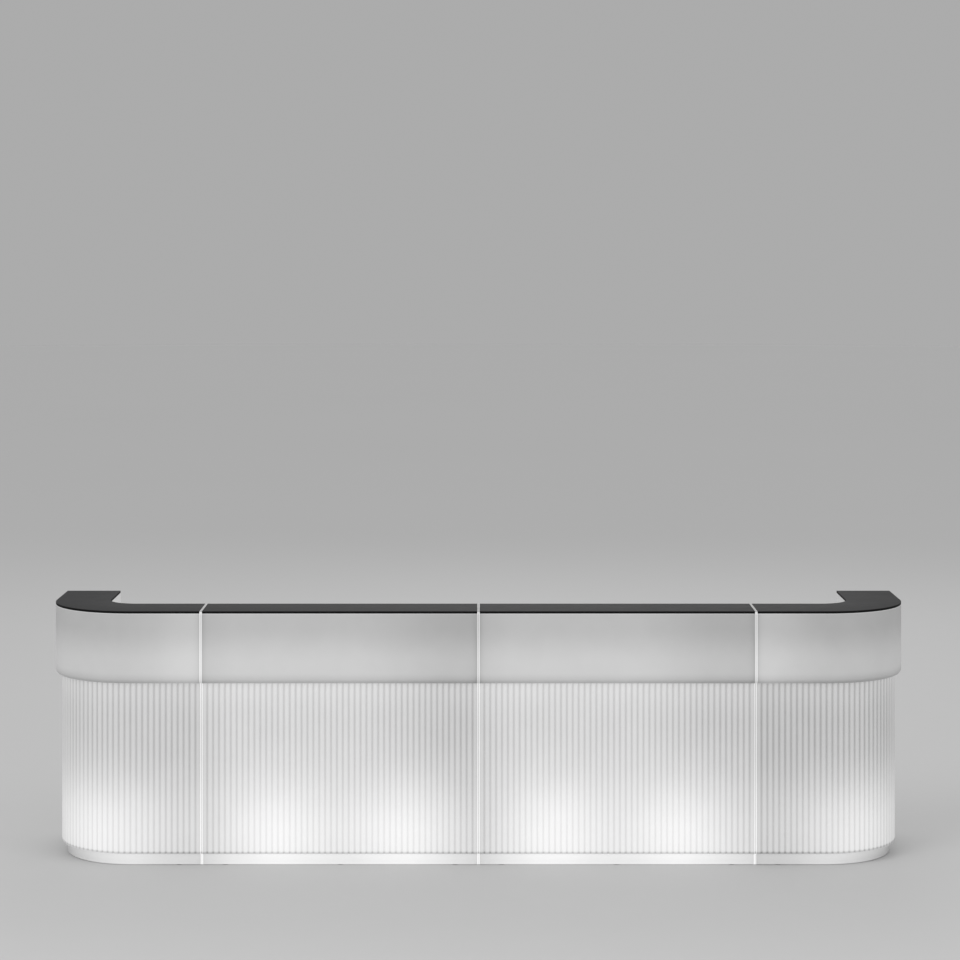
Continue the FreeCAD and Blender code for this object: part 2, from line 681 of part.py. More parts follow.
def power_inlet(module, x):
    """Mains inlet: flange, housing, connector recess with three blades, window for the rocker."""
    name = module.name + "_power_inlet"
    body = new_body(name)
    flange = new_sketch(body, name + "_flange", "XZ_Plane", f"-{COVER_FACE}")
    draw_rounded(flange, x, "cover_level", "flange_width", "flange_height", "flange_thickness")
    pad(body, flange, "flange_thickness", reverse=True)
    housing = new_sketch(body, name + "_housing", "XZ_Plane", f"-{COVER_FACE}")
    draw_box(housing, f"{x} - housing_width / 2", "cover_level - housing_height / 2",
             f"{x} + housing_width / 2", "cover_level + housing_height / 2")
    pad(body, housing, "housing_depth")
    doc.recompute()
    outer = f"-({COVER_FACE} + flange_thickness)"
    socket = new_sketch(body, name + "_socket", "XZ_Plane", outer)
    socket_z = "(cover_level - socket_drop)"
    draw_rounded(socket, x, socket_z, "socket_width", "socket_height", "flange_thickness")
    pocket(body, socket, "socket_deep", reverse=True)
    window = new_sketch(body, name + "_window", "XZ_Plane", outer)
    half = "(rocker_width / 2 + rocker_side_gap)"
    tall = "(rocker_half + rocker_end_gap)"
    draw_box(window, f"{x} - {half}", f"{PIVOT_Z} - {tall}", f"{x} + {half}", f"{PIVOT_Z} + {tall}")
    pocket(body, window, "window_deep", reverse=True)
    doc.recompute()
    blades = new_sketch(body, name + "_blades", "XZ_Plane",
                        f"-({COVER_FACE} + flange_thickness - socket_deep)")
    for step, rise in ((-1, "0"), (1, "0"), (0, "blade_rise")):
        middle = f"({x} + {step} * blade_spread)"
        low = f"({socket_z} - blade_height / 2 + {rise})"
        draw_box(blades, f"{middle} - blade_width / 2", low,
                 f"{middle} + blade_width / 2", f"{low} + blade_height")
    pad(body, blades, "blade_length", reverse=True)
    doc.recompute()
    bearing = new_sketch(body, name + "_bearing", "YZ_Plane", f"{x} - {half} - axle_hole_deep")
    draw_circle(bearing, PIVOT_Y, PIVOT_Z, "axle_radius + axle_fit")
    pocket(body, bearing, f"2 * ({half} + axle_hole_deep)", reverse=True)
    module.put(body)
    return keep(name, body)


def rocker(module, x):
    """Rocker on two stub axles; its face is a shallow vee, and it lies tilted to the on side."""
    name = module.name + "_rocker"
    body = new_body(name)
    side = new_sketch(body, name + "_side", "YZ_Plane", "-rocker_width / 2")
    crown = "(rocker_sink + rocker_half * tan(rocker_tilt * 1 deg))"
    draw(side, (
        ("-rocker_body", "-rocker_body"), ("-rocker_body", "rocker_body"),
        ("rocker_shoulder", "rocker_half"), (crown, "rocker_half"), ("rocker_sink", "0"),
        (crown, "-rocker_half"), ("rocker_shoulder", "-rocker_half")))
    pad(body, side, "rocker_width")
    axle = new_sketch(body, name + "_axle", "YZ_Plane", "-rocker_width / 2 - axle_length")
    draw_circle(axle, "0", "0", "axle_radius")
    pad(body, axle, "rocker_width + 2 * axle_length")
    module.put(body, x, PIVOT_Y, PIVOT_Z, FreeCAD.Rotation(V(1, 0, 0), value("rocker_tilt")))
    tie(body, {"Placement.Rotation.Angle": "rocker_tilt"})
    return keep(name, body)


# ---- cables inside -----------------------------------------------------------------------------

def tube(points, radius, bend):
    """A round bar along straight runs joined by tangent arcs."""
    edges = []
    start = points[0]
    for before, corner, after in zip(points, points[1:], points[2:]):
        into = (corner - before).normalize()
        out = (after - corner).normalize()
        half_turn = into.getAngle(out) / 2
        back = bend * math.tan(half_turn)
        first = corner - into * back
        last = corner + out * back
        inward = (out - into).normalize()
        middle = corner + inward * (bend / math.cos(half_turn) - bend)
        edges.append(Part.LineSegment(start, first).toShape())
        edges.append(Part.Arc(first, middle, last).toShape())
        start = last
    edges.append(Part.LineSegment(start, points[-1]).toShape())
    route = Part.Wire(edges)
    ring = Part.Wire([Part.makeCircle(radius, points[0], points[1] - points[0])])
    bar = route.makePipeShell([ring], True, False)
    wanted = math.pi * radius ** 2 * route.Length
    if abs(bar.Volume / wanted - 1) > 0.01:
        raise ValueError("a cable's solid doesn't match its length")
    return bar


def wiring(module, shapes):
    name = module.name + "_wiring"
    feature = doc.addObject("Part::Feature", name)
    feature.Shape = Part.makeCompound(shapes)
    module.put(feature)
    return keep(name, feature)


def inlet_drop(x):
    """The cable's first points: out of the inlet towards the front, then down."""
    height = value("cover_level")
    return [V(value(x), value(f"{COVER_FACE} - housing_depth"), height),
            V(value(x), value(CABLE_DROP), height)]


def straight_wiring(module):
    """From the inlet down to the near lamp, and on along the floor to the far one."""
    radius = value("cable_radius")
    points = inlet_drop("lamp_inset")
    base_top = value(f"{INSIDE_FLOOR} + lamp_base_thickness")
    points.append(V(points[-1].x, points[-1].y, base_top))
    drop = tube(points, radius, value("cable_bend"))
    low = value(f"{INSIDE_FLOOR} + cable_radius")
    near = V(value("lamp_inset + lamp_base_radius"), value(LAMP_FRONT), low)
    far = V(value("straight_width - lamp_inset - lamp_base_radius"), near.y, low)
    return wiring(module, [drop, tube([near, far], radius, 0)])


def corner_wiring(module):
    """From the inlet down to the floor, along it, and to the side of the lamp in the bend."""
    points = inlet_drop(f"{CORNER} - corner_cover_inset")
    low = value(f"{INSIDE_FLOOR} + cable_radius")
    lamp_x, lamp_y = lamp_spots(True)[0]
    lamp = V(value(lamp_x), value(lamp_y), low)
    points.append(V(points[-1].x, points[-1].y, low))
    turn = V(value("band_radius"), points[-1].y, low)
    points.append(turn)
    points.append(lamp + (turn - lamp).normalize() * value("lamp_base_radius"))
    return wiring(module, [tube(points, value("cable_radius"), value("cable_bend"))])


# ---- shelf unit --------------------------------------------------------------------------------

def board(module, name, low, size, holes=()):
    """A laminate board, less its (x, y, z, radius, length, rotation) holes."""
    whole = bool(holes)
    box = doc.addObject("Part::Box", name + "_board" if whole else name)
    tie(box, dict(zip(("Length", "Width", "Height"), size)))
    module.put(box, *low)
    if not whole:
        return keep(name, box)
    drills = []
    for number, (x, y, z, radius, length, rotation) in enumerate(holes):
        drill = doc.addObject("Part::Cylinder", f"{name}_drill_{number + 1}")
        tie(drill, {"Radius": radius, "Height": length})
        drills.append(module.put(drill, x, y, z, rotation))
    tool = doc.addObject("Part::Compound", name + "_drills")
    tool.Links = drills
    cut = doc.addObject("Part::Cut", name)
    cut.Base = box
    cut.Tool = tool
    return keep(name, cut)


def behind(text):
    """A distance behind the rear wall, as a depth from the band."""
    return f"(body_depth + {text})"


def draw_holes(body, name, role, offset, spots, radius, depth, reverse):
    """A row of equal blind holes into one face."""
    drawing = new_sketch(body, name, role, offset)
    for x, y in spots:
        draw_circle(drawing, x, y, radius)
    pocket(body, drawing, depth, reverse)


def pin_rows():
    return [(behind(y), "middle_height - pin_radius") for y in ("pin_front", "pin_back")]


def panel_bracket_spot():
    return [(behind("panel_bracket_back"), f"{UNDER_WORKTOP} - bracket_hole")]


def side_panel(module, side):
    """Side panel, notched over the lower joining plate; its inner face looks into the bays."""
    name = f"{module.name}_side_panel_{side}"
    left = side == "left"
    inner = PANEL_IN if left else f"straight_width - {PANEL_IN}"
    outer = "laminate_gap" if left else "straight_width - laminate_gap"
    reach = behind("plate_thickness + join_screw_head_height + notch_gap")
    half = "(plate_height / 2 + notch_gap)"
    body = new_body(name)
    outline = new_sketch(body, name + "_outline", "YZ_Plane", outer)
    draw(outline, (
        ("body_depth", "leg_height"), (behind("panel_depth"), "leg_height"),
        (behind("panel_depth"), UNDER_WORKTOP), ("body_depth", UNDER_WORKTOP),
        ("body_depth", f"plate_low + {half}"), (reach, f"plate_low + {half}"),
        (reach, f"plate_low - {half}"), ("body_depth", f"plate_low - {half}")))
    pad(body, outline, "board", reverse=not left)
    doc.recompute()
    draw_holes(body, name + "_pin_holes", "YZ_Plane", inner, pin_rows(),
               "pin_radius + screw_fit", "pin_in + screw_fit", reverse=not left)
    draw_holes(body, name + "_bracket_hole", "YZ_Plane", inner, panel_bracket_spot(),
               "small_screw_radius + screw_fit", "bracket_grip + laminate_gap", reverse=not left)
    screws = [(behind(y), "leg_height + board / 2")
              for y in ("panel_screw_front", "panel_screw_back")]
    draw_holes(body, name + "_screw_holes", "YZ_Plane", inner, screws,
               "small_screw_radius + screw_fit", "board", reverse=not left)
    draw_holes(body, name + "_head_holes", "YZ_Plane", outer, screws,
               "panel_screw_head + screw_fit", "panel_screw_head_height", reverse=left)
    module.put(body)
    return keep(name, body)


def divider(module):
    """Upright between the bays; it stands on the bottom shelf and carries the worktop."""
    name = module.name + "_divider"
    faces = ((f"{HALF_WIDTH} - board / 2", True), (f"{HALF_WIDTH} + board / 2", False))
    body = new_body(name)
    outline = new_sketch(body, name + "_outline", "YZ_Plane", faces[0][0])
    draw_box(outline, "body_depth", SHELF_TOP, behind("divider_depth"), UNDER_WORKTOP)
    pad(body, outline, "board")
    doc.recompute()
    for number, (face, reverse) in enumerate(faces):
        draw_holes(body, f"{name}_pin_holes_{number + 1}", "YZ_Plane", face, pin_rows(),
                   "pin_radius + screw_fit", "pin_in + screw_fit", reverse)
    draw_holes(body, name + "_bracket_hole", "YZ_Plane", faces[1][0], panel_bracket_spot(),
               "small_screw_radius + screw_fit", "bracket_grip + laminate_gap", reverse=False)
    screws = [(HALF_WIDTH, behind(y)) for y in ("panel_screw_front", "panel_screw_back")]
    draw_holes(body, name + "_screw_holes", "XY_Plane", SHELF_TOP, screws,
               "small_screw_radius + screw_fit", SCREW_PAST_BOARD, reverse=True)
    module.put(body)
    return keep(name, body)


def bottom_shelf(module):
    hole = "small_screw_radius + screw_fit"
    head = "panel_screw_head + screw_fit"
    middle = "leg_height + board / 2"
    holes = []
    for y in (behind("panel_screw_front"), behind("panel_screw_back")):
        holes.append((PANEL_IN, y, middle, hole, SCREW_PAST_BOARD, ALONG_X))
        holes.append((f"straight_width - {PANEL_IN}", y, middle, hole, SCREW_PAST_BOARD,
                      AGAINST_X))
        holes.append((HALF_WIDTH, y, "leg_height", hole, "board", UP))
        holes.append((HALF_WIDTH, y, "leg_height", head, "panel_screw_head_height", UP))
    return board(module, module.name + "_bottom_shelf", (PANEL_IN, "body_depth", "leg_height"),
                 (f"straight_width - 2 * {PANEL_IN}", "bottom_depth", "board"), holes)


def middle_shelf(module, side):
    """One bay's shelf, which lies loose on four pins."""
    start = f"{PANEL_IN} + laminate_gap"
    if side == "right":
        start = f"{HALF_WIDTH} + board / 2 + laminate_gap"
    return board(module, f"{module.name}_middle_shelf_{side}",
                 (start, "body_depth + laminate_gap", "middle_height"),
                 (f"{HALF_WIDTH} - board / 2 - {PANEL_IN} - 2 * laminate_gap",
                  "shelf_depth - laminate_gap", "board"))


def panel_bracket_places():
    """Brackets on the panels: (x of the face, sign of its outward side)."""
    return ((PANEL_IN, 1), (f"{HALF_WIDTH} + board / 2", 1), (f"straight_width - {PANEL_IN}", -1))


def worktop(module):
    hole = "small_screw_radius + screw_fit"
    spots = [(x, behind("bracket_hole")) for x in bracket_spots()]
    spots += [(f"{x} + {sign} * bracket_hole", behind("panel_bracket_back"))
              for x, sign in panel_bracket_places()]
    holes = [(x, y, UNDER_WORKTOP, hole, "bracket_grip + laminate_gap", UP) for x, y in spots]
    return board(module, module.name + "_worktop", ("laminate_gap", "body_depth", UNDER_WORKTOP),
                 ("straight_width - 2 * laminate_gap", "worktop_depth", "board"), holes)


def kick_board(module):
    return board(module, module.name + "_kick_board",
                 ("laminate_gap", behind("bottom_depth - kick_setback - kick_thickness"),
                  "kick_clear"),
                 ("straight_width - 2 * laminate_gap", "kick_thickness",
                  "leg_height - kick_clear"))


# ---- masters of the repeated pieces ------------------------------------------------------------

def glide_master():
    return turned("glide_master", (
        ("0", "-glide_height"), ("glide_radius", "-glide_height"), ("glide_radius", "0"),
        ("glide_pin", "0"), ("glide_pin", "wall"), ("0", "wall")))


def leg_master():
    """Leg with a round foot and a round top plate."""
    return turned("leg_master", (
        ("0", "0"), ("leg_flange", "0"), ("leg_flange", "leg_flange_height"),
        ("leg_radius", "leg_flange_height"), ("leg_radius", "leg_height - leg_flange_height"),
        ("leg_flange", "leg_height - leg_flange_height"), ("leg_flange", "leg_height"),
        ("0", "leg_height")))


def insert_master():
    bore = "(join_screw_radius + screw_fit)"
    return turned("insert_master", (
        (bore, "0"), ("insert_radius", "0"), ("insert_radius", "insert_length"),
        (bore, "insert_length")))


def lamp_base_master():
    """Round plate with the holder that carries the globe, and two screw holes."""
    holder = "(globe_radius - globe_wall - globe_fit)"
    top = "(lamp_base_thickness + lamp_holder_height)"
    body = turned("lamp_base_master", (
        ("0", "0"), ("lamp_base_radius", "0"), ("lamp_base_radius", "lamp_base_thickness"),
        (holder, "lamp_base_thickness"), (holder, top), ("0", top)))
    doc.recompute()
    draw_holes(body, "lamp_base_screw_holes", "XY_Plane", "lamp_base_thickness",
               [("-lamp_screw_reach", "0"), ("lamp_screw_reach", "0")],
               "small_screw_radius + screw_fit", "lamp_base_thickness", reverse=False)
    return body


def globe_master():
    """Opal tube with a half-round end, open below."""
    shoulder = "(globe_height - globe_radius)"
    inner = "(globe_radius - globe_wall)"
    return turned("globe_master", (
        ("globe_radius", "0"), ("globe_radius", shoulder, "0", shoulder), ("0", "globe_height"),
        ("0", "globe_height - globe_wall", "0", shoulder), (inner, shoulder), (inner, "0")))


def plate_master():
    body = new_body("plate_master")
    face = new_sketch(body, "plate_face", "XZ_Plane")
    draw_rounded(face, "0", "0", "plate_width", "plate_height", "plate_rounding")
    for x in ("-join_inset", "join_inset"):
        for z in ("-join_half", "join_half"):
            draw_circle(face, x, z, "join_screw_radius + screw_fit")
    pad(body, face, "plate_thickness", reverse=True)
    return body


def bracket_master():
    """Angle bracket: one leg down the wall behind it, one leg out under the worktop."""
    body = new_body("bracket_master")
    side = new_sketch(body, "bracket_side", "YZ_Plane", "-bracket_wide / 2")
    draw(side, (("0", "0"), ("0", "-bracket_leg"), ("bracket_thickness", "-bracket_leg"),
                ("bracket_thickness", "-bracket_thickness"),
                ("bracket_leg", "-bracket_thickness"), ("bracket_leg", "0")))
    pad(body, side, "bracket_wide")
    doc.recompute()
    draw_holes(body, "bracket_wall_hole", "XZ_Plane", "-bracket_thickness",
               [("0", "-bracket_hole")], "small_screw_radius + screw_fit", "bracket_thickness",
               reverse=True)
    draw_holes(body, "bracket_top_hole", "XY_Plane", "0", [("0", "bracket_hole")],
               "small_screw_radius + screw_fit", "bracket_thickness", reverse=False)
    return body


def small_screw(name, length):
    return screw(name, "small_screw_radius", "small_screw_head", "small_screw_head_height", length)


# ---- groups of like pieces ---------------------------------------------------------------------

def body_groups():
    """Glides, lamps, screws and inserts of the four bodies."""
    glides, top_screws, bases, globes, lamp_screws, cover_screws = [], [], [], [], [], []
    for module in MODULES:
        corner = module.corner
        for x, y in glide_spots(corner):
            glides.append((module, x, y, "glide_height", UP))
        for x, y in top_screw_spots(corner):
            top_screws.append((module, x, y, f"{BODY_TOP} - wall", UP))
        plate_top = f"{INSIDE_FLOOR} + lamp_base_thickness"
        for x, y in lamp_spots(corner):
            bases.append((module, x, y, INSIDE_FLOOR, UP))
            globes.append((module, x, y, plate_top, UP))
        for x, y in lamp_screw_spots(corner):
            lamp_screws.append((module, x, y, plate_top, DOWN))
        for x in cover_spots(corner):
            for spot_x, z in cover_screw_spots(x):
                cover_screws.append((module, spot_x, COVER_FACE, z, AGAINST_Y))
    copies("body_glides", glide_master(), glides)
    copies("top_screws", screw("top_screw_master", "top_screw_radius", "top_screw_head",
                               "top_screw_head_height", "wall + top_screw_grip"), top_screws)
    copies("lamp_bases", lamp_base_master(), bases)
    copies("lamp_globes", globe_master(), globes)
    copies("lamp_screws", small_screw("lamp_screw_master",
                                      "lamp_base_thickness + small_screw_grip"), lamp_screws)
    copies("cover_screws", small_screw("cover_screw_master",
                                       "cover_thickness + small_screw_grip"), cover_screws)


def joining_groups():
    """Plates over the three seams, their screws, and the inserts, also in the arms' free ends."""
    inserts, screws = [], []
    for module in MODULES:
        for x, z in join_spots(module.corner):
            inserts.append((module, x, "body_depth", z, AGAINST_Y))
            screws.append((module, x, "body_depth + plate_thickness", z, AGAINST_Y))
        if module.corner:
            inward = AGAINST_X if module.side == 1 else ALONG_X
            for z in join_heights():
                inserts.append((module, "body_depth", f"{CORNER} - join_inset", z, inward))
    seams = ((LEFT, "0"), (RIGHT, "0"), (RIGHT, "straight_width"))
    plates = [(module, x, "body_depth", z, UP)
              for module, x in seams for z in PLATE_HEIGHTS]
    copies("threaded_inserts", insert_master(), inserts)
    copies("joining_plates", plate_master(), plates)
    copies("joining_screws", screw("joining_screw_master", "join_screw_radius",
                                   "join_screw_head", "join_screw_head_height",
                                   "plate_thickness + join_screw_grip"), screws)


def shelf_groups():
    """Legs, pins, brackets and screws of the two shelf units."""
    legs, pins, brackets, bracket_screws, panel_screws = [], [], [], [], []
    under = f"{UNDER_WORKTOP} - bracket_thickness"
    bracket_z = f"{UNDER_WORKTOP} - bracket_hole"
    for module in STRAIGHTS:
        for x in ("leg_inset", HALF_WIDTH, "straight_width - leg_inset"):
            for y in ("leg_front", "leg_back"):
                legs.append((module, x, behind(y), "0", UP))
        for y, z in pin_rows():
            pins.append((module, f"{PANEL_IN} - pin_in", y, z, ALONG_X))
            pins.append((module, f"{HALF_WIDTH} - board / 2 + pin_in", y, z, AGAINST_X))
            pins.append((module, f"{HALF_WIDTH} + board / 2 - pin_in", y, z, ALONG_X))
            pins.append((module, f"straight_width - {PANEL_IN} + pin_in", y, z, AGAINST_X))
        for x in bracket_spots():
            brackets.append((module, x, "body_depth", UNDER_WORKTOP, UP))
            bracket_screws.append((module, x, behind("bracket_thickness"), bracket_z, AGAINST_Y))
            bracket_screws.append((module, x, behind("bracket_hole"), under, UP))
        for x, sign in panel_bracket_places():
            y = behind("panel_bracket_back")
            turn = FreeCAD.Rotation(V(0, 0, 1), -90 * sign)
            into = AGAINST_X if sign == 1 else ALONG_X
            face = f"{x} + {sign} * bracket_thickness"
            brackets.append((module, x, y, UNDER_WORKTOP, turn))
            bracket_screws.append((module, face, y, bracket_z, into))
            bracket_screws.append((module, f"{x} + {sign} * bracket_hole", y, under, UP))
        for y in (behind("panel_screw_front"), behind("panel_screw_back")):
            z = "leg_height + board / 2"
            sunk = "laminate_gap + panel_screw_head_height"
            panel_screws.append((module, sunk, y, z, ALONG_X))
            panel_screws.append((module, f"straight_width - ({sunk})", y, z, AGAINST_X))
            panel_screws.append((module, HALF_WIDTH, y, "leg_height + panel_screw_head_height", UP))
    copies("shelf_legs", leg_master(), legs)
    pin_master = doc.addObject("Part::Cylinder", "pin_master")
    tie(pin_master, {"Radius": "pin_radius", "Height": "pin_in + pin_out"})
    copies("shelf_pins", pin_master, pins)
    copies("worktop_brackets", bracket_master(), brackets)
    copies("bracket_screws", small_screw("bracket_screw_master",
                                         "bracket_thickness + bracket_grip"), bracket_screws)
    copies("panel_screws", screw("panel_screw_master", "small_screw_radius", "panel_screw_head",
                                 "panel_screw_head_height", "panel_screw_length"), panel_screws)


# ---- the counter -------------------------------------------------------------------------------

for straight in STRAIGHTS:
    straight_body(straight)
    straight_top(straight)
    near, far = cover_spots(corner=False)
    cover(straight, straight.name + "_service_cover", near, with_inlet=True)
    cover(straight, straight.name + "_lamp_cover", far, with_inlet=False)
    power_inlet(straight, near)
    rocker(straight, near)
    straight_wiring(straight)
    side_panel(straight, "left")
    side_panel(straight, "right")
    divider(straight)
    bottom_shelf(straight)
    middle_shelf(straight, "left")
    middle_shelf(straight, "right")
    worktop(straight)
    kick_board(straight)

corner_body(LEFT_CORNER)
corner_top(LEFT_CORNER)
only = cover_spots(corner=True)[0]
cover(LEFT_CORNER, "left_corner_service_cover", only, with_inlet=True)
power_inlet(LEFT_CORNER, only)
rocker(LEFT_CORNER, only)
corner_wiring(LEFT_CORNER)
for piece in ("body", "top", "service_cover", "power_inlet", "rocker", "wiring"):
    mirrored("left_corner_" + piece, "right_corner_" + piece)

body_groups()
joining_groups()
shelf_groups()
doc.recompute()


# ---- checks and export -------------------------------------------------------------------------

for thing in doc.Objects:
    if "Invalid" in thing.State or "Error" in thing.State:
        raise RuntimeError(f"{thing.Name} didn't compute: {thing.State}")
    if thing.TypeId == "PartDesign::Pocket":
        if thing.Shape.Volume >= thing.BaseFeature.Shape.Volume - 1e-6:
            raise RuntimeError(f"{thing.Name} cuts nothing")

for name, thing in pieces.items():
    shape = thing.Shape
    if shape.isNull() or not shape.isValid() or not shape.Solids:
        raise RuntimeError(f"{name} has no sound shape")
    shape.exportStep(f"parts/{name}.step")
    print(name, len(shape.Solids), round(shape.Volume / 1000, 1))
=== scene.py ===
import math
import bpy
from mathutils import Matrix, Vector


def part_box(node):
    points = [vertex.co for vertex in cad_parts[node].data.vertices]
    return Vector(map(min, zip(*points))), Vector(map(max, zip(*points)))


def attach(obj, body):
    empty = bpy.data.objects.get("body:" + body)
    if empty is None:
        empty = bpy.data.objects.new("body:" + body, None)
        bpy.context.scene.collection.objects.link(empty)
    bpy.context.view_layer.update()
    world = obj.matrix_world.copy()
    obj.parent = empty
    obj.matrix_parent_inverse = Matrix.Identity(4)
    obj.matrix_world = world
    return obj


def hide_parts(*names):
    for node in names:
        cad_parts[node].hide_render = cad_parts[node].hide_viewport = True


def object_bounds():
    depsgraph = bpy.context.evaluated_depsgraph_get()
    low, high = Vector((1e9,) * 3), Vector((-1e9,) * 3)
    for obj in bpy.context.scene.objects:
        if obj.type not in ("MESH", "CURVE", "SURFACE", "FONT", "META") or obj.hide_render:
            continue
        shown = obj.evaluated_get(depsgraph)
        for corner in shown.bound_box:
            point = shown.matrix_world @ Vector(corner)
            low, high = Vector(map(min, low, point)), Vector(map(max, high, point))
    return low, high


bl_info = {
    "name": "Lit Bar Counter",
    "version": (1, 0, 0),
    "blender": (4, 5, 0),
    "location": "3D View > Sidebar > Bar Counter",
    "description": "Builds a modular bar counter, lit from inside, with its shelf units",
    "category": "Add Mesh",
}

from functools import partialmethod

import bpy
import numpy as np
from bpy.props import FloatProperty, FloatVectorProperty, IntProperty, PointerProperty
from mathutils import Vector

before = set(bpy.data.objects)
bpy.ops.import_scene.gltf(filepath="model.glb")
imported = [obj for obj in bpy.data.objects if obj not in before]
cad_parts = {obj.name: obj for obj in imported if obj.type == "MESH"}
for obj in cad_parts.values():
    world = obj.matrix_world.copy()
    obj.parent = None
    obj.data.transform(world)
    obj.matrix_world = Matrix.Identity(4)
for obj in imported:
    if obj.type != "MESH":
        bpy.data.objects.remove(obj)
CAD_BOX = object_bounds()


# ---- sizes in metres, from the frame where it has them -------------------------------------------

STRAIGHT = ("left_straight", "right_straight")
MODULES = ("left_corner", "right_corner") + STRAIGHT

SEAM = -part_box("left_straight_body")[0].x
CORNER = -CAD_BOX[0][0] - SEAM
BAND_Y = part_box("left_straight_body")[0].y
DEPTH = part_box("left_straight_body")[1].y - BAND_Y
REAR_Y = BAND_Y + DEPTH
ARM_WALL = SEAM + CORNER - DEPTH
ARM_END = CAD_BOX[1][1]
COUNTER_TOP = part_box("left_straight_top")[1].z
BODY_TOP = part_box("left_straight_top")[0].z
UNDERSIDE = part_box("left_straight_body")[0].z

# Moulded bodies: distances in from the band, and heights. The groove is given by depth behind the
# plinth and height, and the edge of the rim by distance from the module's end and drop.
BAND_RADIUS = 0.370
CORNER_RUN = CORNER - BAND_RADIUS
BAND_BOTTOM = 0.788
BAND_ROUNDING = 0.020
BAND_ROWS = (0.95, 0.838)
RIB_DEPTH = 0.007
RIB_VALLEY = 0.0032
VALLEY = 0.034
VALLEY_ROUNDING = 0.003
PLINTH = 0.053
PLINTH_TOP = 0.052
PLINTH_ROUNDING = 0.002
FOOT_ROUNDING = 0.003
GROOVE = ((0, 0.0122), (0.0012, 0.0113), (0.0012, 0.0101), (0, 0.0092))
STRAIGHT_RIBS = 47
RUN_RIBS = 12
BEND_RIBS = 21
UPSTAND = 0.005
RIM_EDGE = ((0.0036, 0), (0.0044, 0.0003), (0.0048, 0.0009), (UPSTAND, 0.0020))
RIM_FOOT = 0.0053
LAMINATE_GAP = 0.0005
TOP_COLUMNS = 97
TOP_COLUMNS_START = 0.01

# Where the light inside is strongest, in the right half: two spots in the straight module and one
# in the corner.
GLOW_SPOTS = ((0.320, BAND_Y + 0.132, 0.13), (SEAM - 0.320, BAND_Y + 0.132, 0.13),
              (SEAM + CORNER - 0.275, BAND_Y + 0.1775, 0.13))

# Rear walls: covers, openings behind them, inlets and inserts. The contact blades are placed from
# the inlet's middle and its face. A thread's corners are given by radius and share of the pitch.
COVER_OPENING = (0.200, 0.140)
COVER_ROUNDING = 0.012
OPENING_DEPTH = 0.05
CUTTER_PROUD = 0.01
INLET_WINDOW = (0.0286, 0.0546)
INLET_WINDOW_ROUNDING = 0.0004
BLADE_SPREAD = 0.0095
BLADE_RISE = 0.0060
BLADE_DROP = 0.0095
BLADE_REACH = (0.0158, 0.0030)
INSERT_RADIUS = 0.007
INSERT_LENGTH = 0.014
INSERT_EASE = 0.0003
INSERT_FIT = 0.0001
THREAD = ((0.0041, 0.1), (0.0046, 0.6))
THREAD_START = 0.001
THREAD_LENGTH = 0.012
THREAD_MOUTH = 0.0048
PLATE_ROUNDING = 0.006

# Rocker, from its pivot out to its face and up to its ends, and the marks on it. The pivot is
# above the inlet's middle, and as deep in as the rocker's face stands out from it.
ROCKER_RISE = 0.014
ROCKER_TILT = math.radians(8)
ROCKER_FACE = 0.004
ROCKER_HALF = 0.0095
ROCKER_SHOULDER = 0.002
ROCKER_BODY = 0.005
ROCKER_WIDTH = 0.013
ROCKER_ROUNDING = 0.0005
ROCKER_ARRIS = 0.0006
MARK_BAR = (0.0009, 0.0044, 0.0003)
MARK_RING = (0.0021, 0.0014)
MARK_RISE = 0.0052
MARK_THICKNESS = 0.0003
MARK_ARRIS = 0.0001
MARK_SINK = 0.0002

# Shelf units.
NOTCH_DEPTH = 0.012
NOTCH = (0.397, 0.463)
BRACKET_LEG = 0.040
BRACKET_STEEL = 0.003
BRACKET_BEND = 0.004

# Turned and headed pieces as (radius, height) down their axis, in millimetres.
SOCKET_SCREW = ((0, -2.8), (1, -2.8), (1, -0.4), (3.3, 0), (6.3, 0), (6.8, -0.2), (7, -0.7),
                (7, -4.7), (6.7, -5), (4, -5), (4, -19.4), (3.4, -20), (0, -20))
PAN_HEAD = ((0, -1.4), (1, -1.4), (1, -0.1), (2.6, -0.1), (3.4, -0.4), (3.9, -1), (4, -1.7),
            (3.9, -2), (2, -2))
PAN_HEAD_REACH = {"cover_screws": 10, "bracket_screws": 13}
AXLE = ((0, -8.5), (1.2, -8.5), (1.5, -8.2), (1.5, 8.2), (1.2, 8.5), (0, 8.5))
PIN = ((0, -7.5), (1.8, -7.5), (2.3, -7.3), (2.5, -6.8), (2.5, 6.8), (2.3, 7.3), (1.8, 7.5),
       (0, 7.5))
LEG = ((0, 0), (22.4, 0), (23.5, 0.4), (24, 1.4), (24, 3.6), (23.2, 4.8), (20, 5.6), (17, 6.0),
       (15.6, 6.8), (15, 8.4), (15, 24), (14.6, 24.4), (14.2, 24.6), (14.2, 27.4), (14.6, 27.6),
       (15, 28), (15, 91.6), (15.6, 93.2), (17, 94), (20, 94.4), (23.2, 95.2), (24, 96.4),
       (24, 98.6), (23.5, 99.6), (22.4, 100), (0, 100))

# Recesses of the screw heads: width across the flats, and a cross's arm and half width.
SOCKET_KEY = 0.005
CROSS_RECESS = (0.0021, 0.0005)

# Points of a CAD solid that are this near to a plane lie in it.
CLOSE = 0.0001

# Stage.
FLOOR_RINGS = (0.5, 4.0, 12.0, 60.0)
FLOOR_SIDES = 96
LIGHT_AIM = (0, 0, 0.6)
LIGHTS = (("key_light", (-4.5, -6.5, 6.5), 5.0, 220.0),
          ("fill_light", (5.5, -5.0, 4.5), 5.0, 90.0),
          ("rear_light", (0.5, 7.5, 6.5), 6.0, 110.0))
CAMERA = (0.0065, -11.5, 2.66)
LENS = 97.74
LENS_SHIFT = -0.2427


# ---- what a user may change ----------------------------------------------------------------------

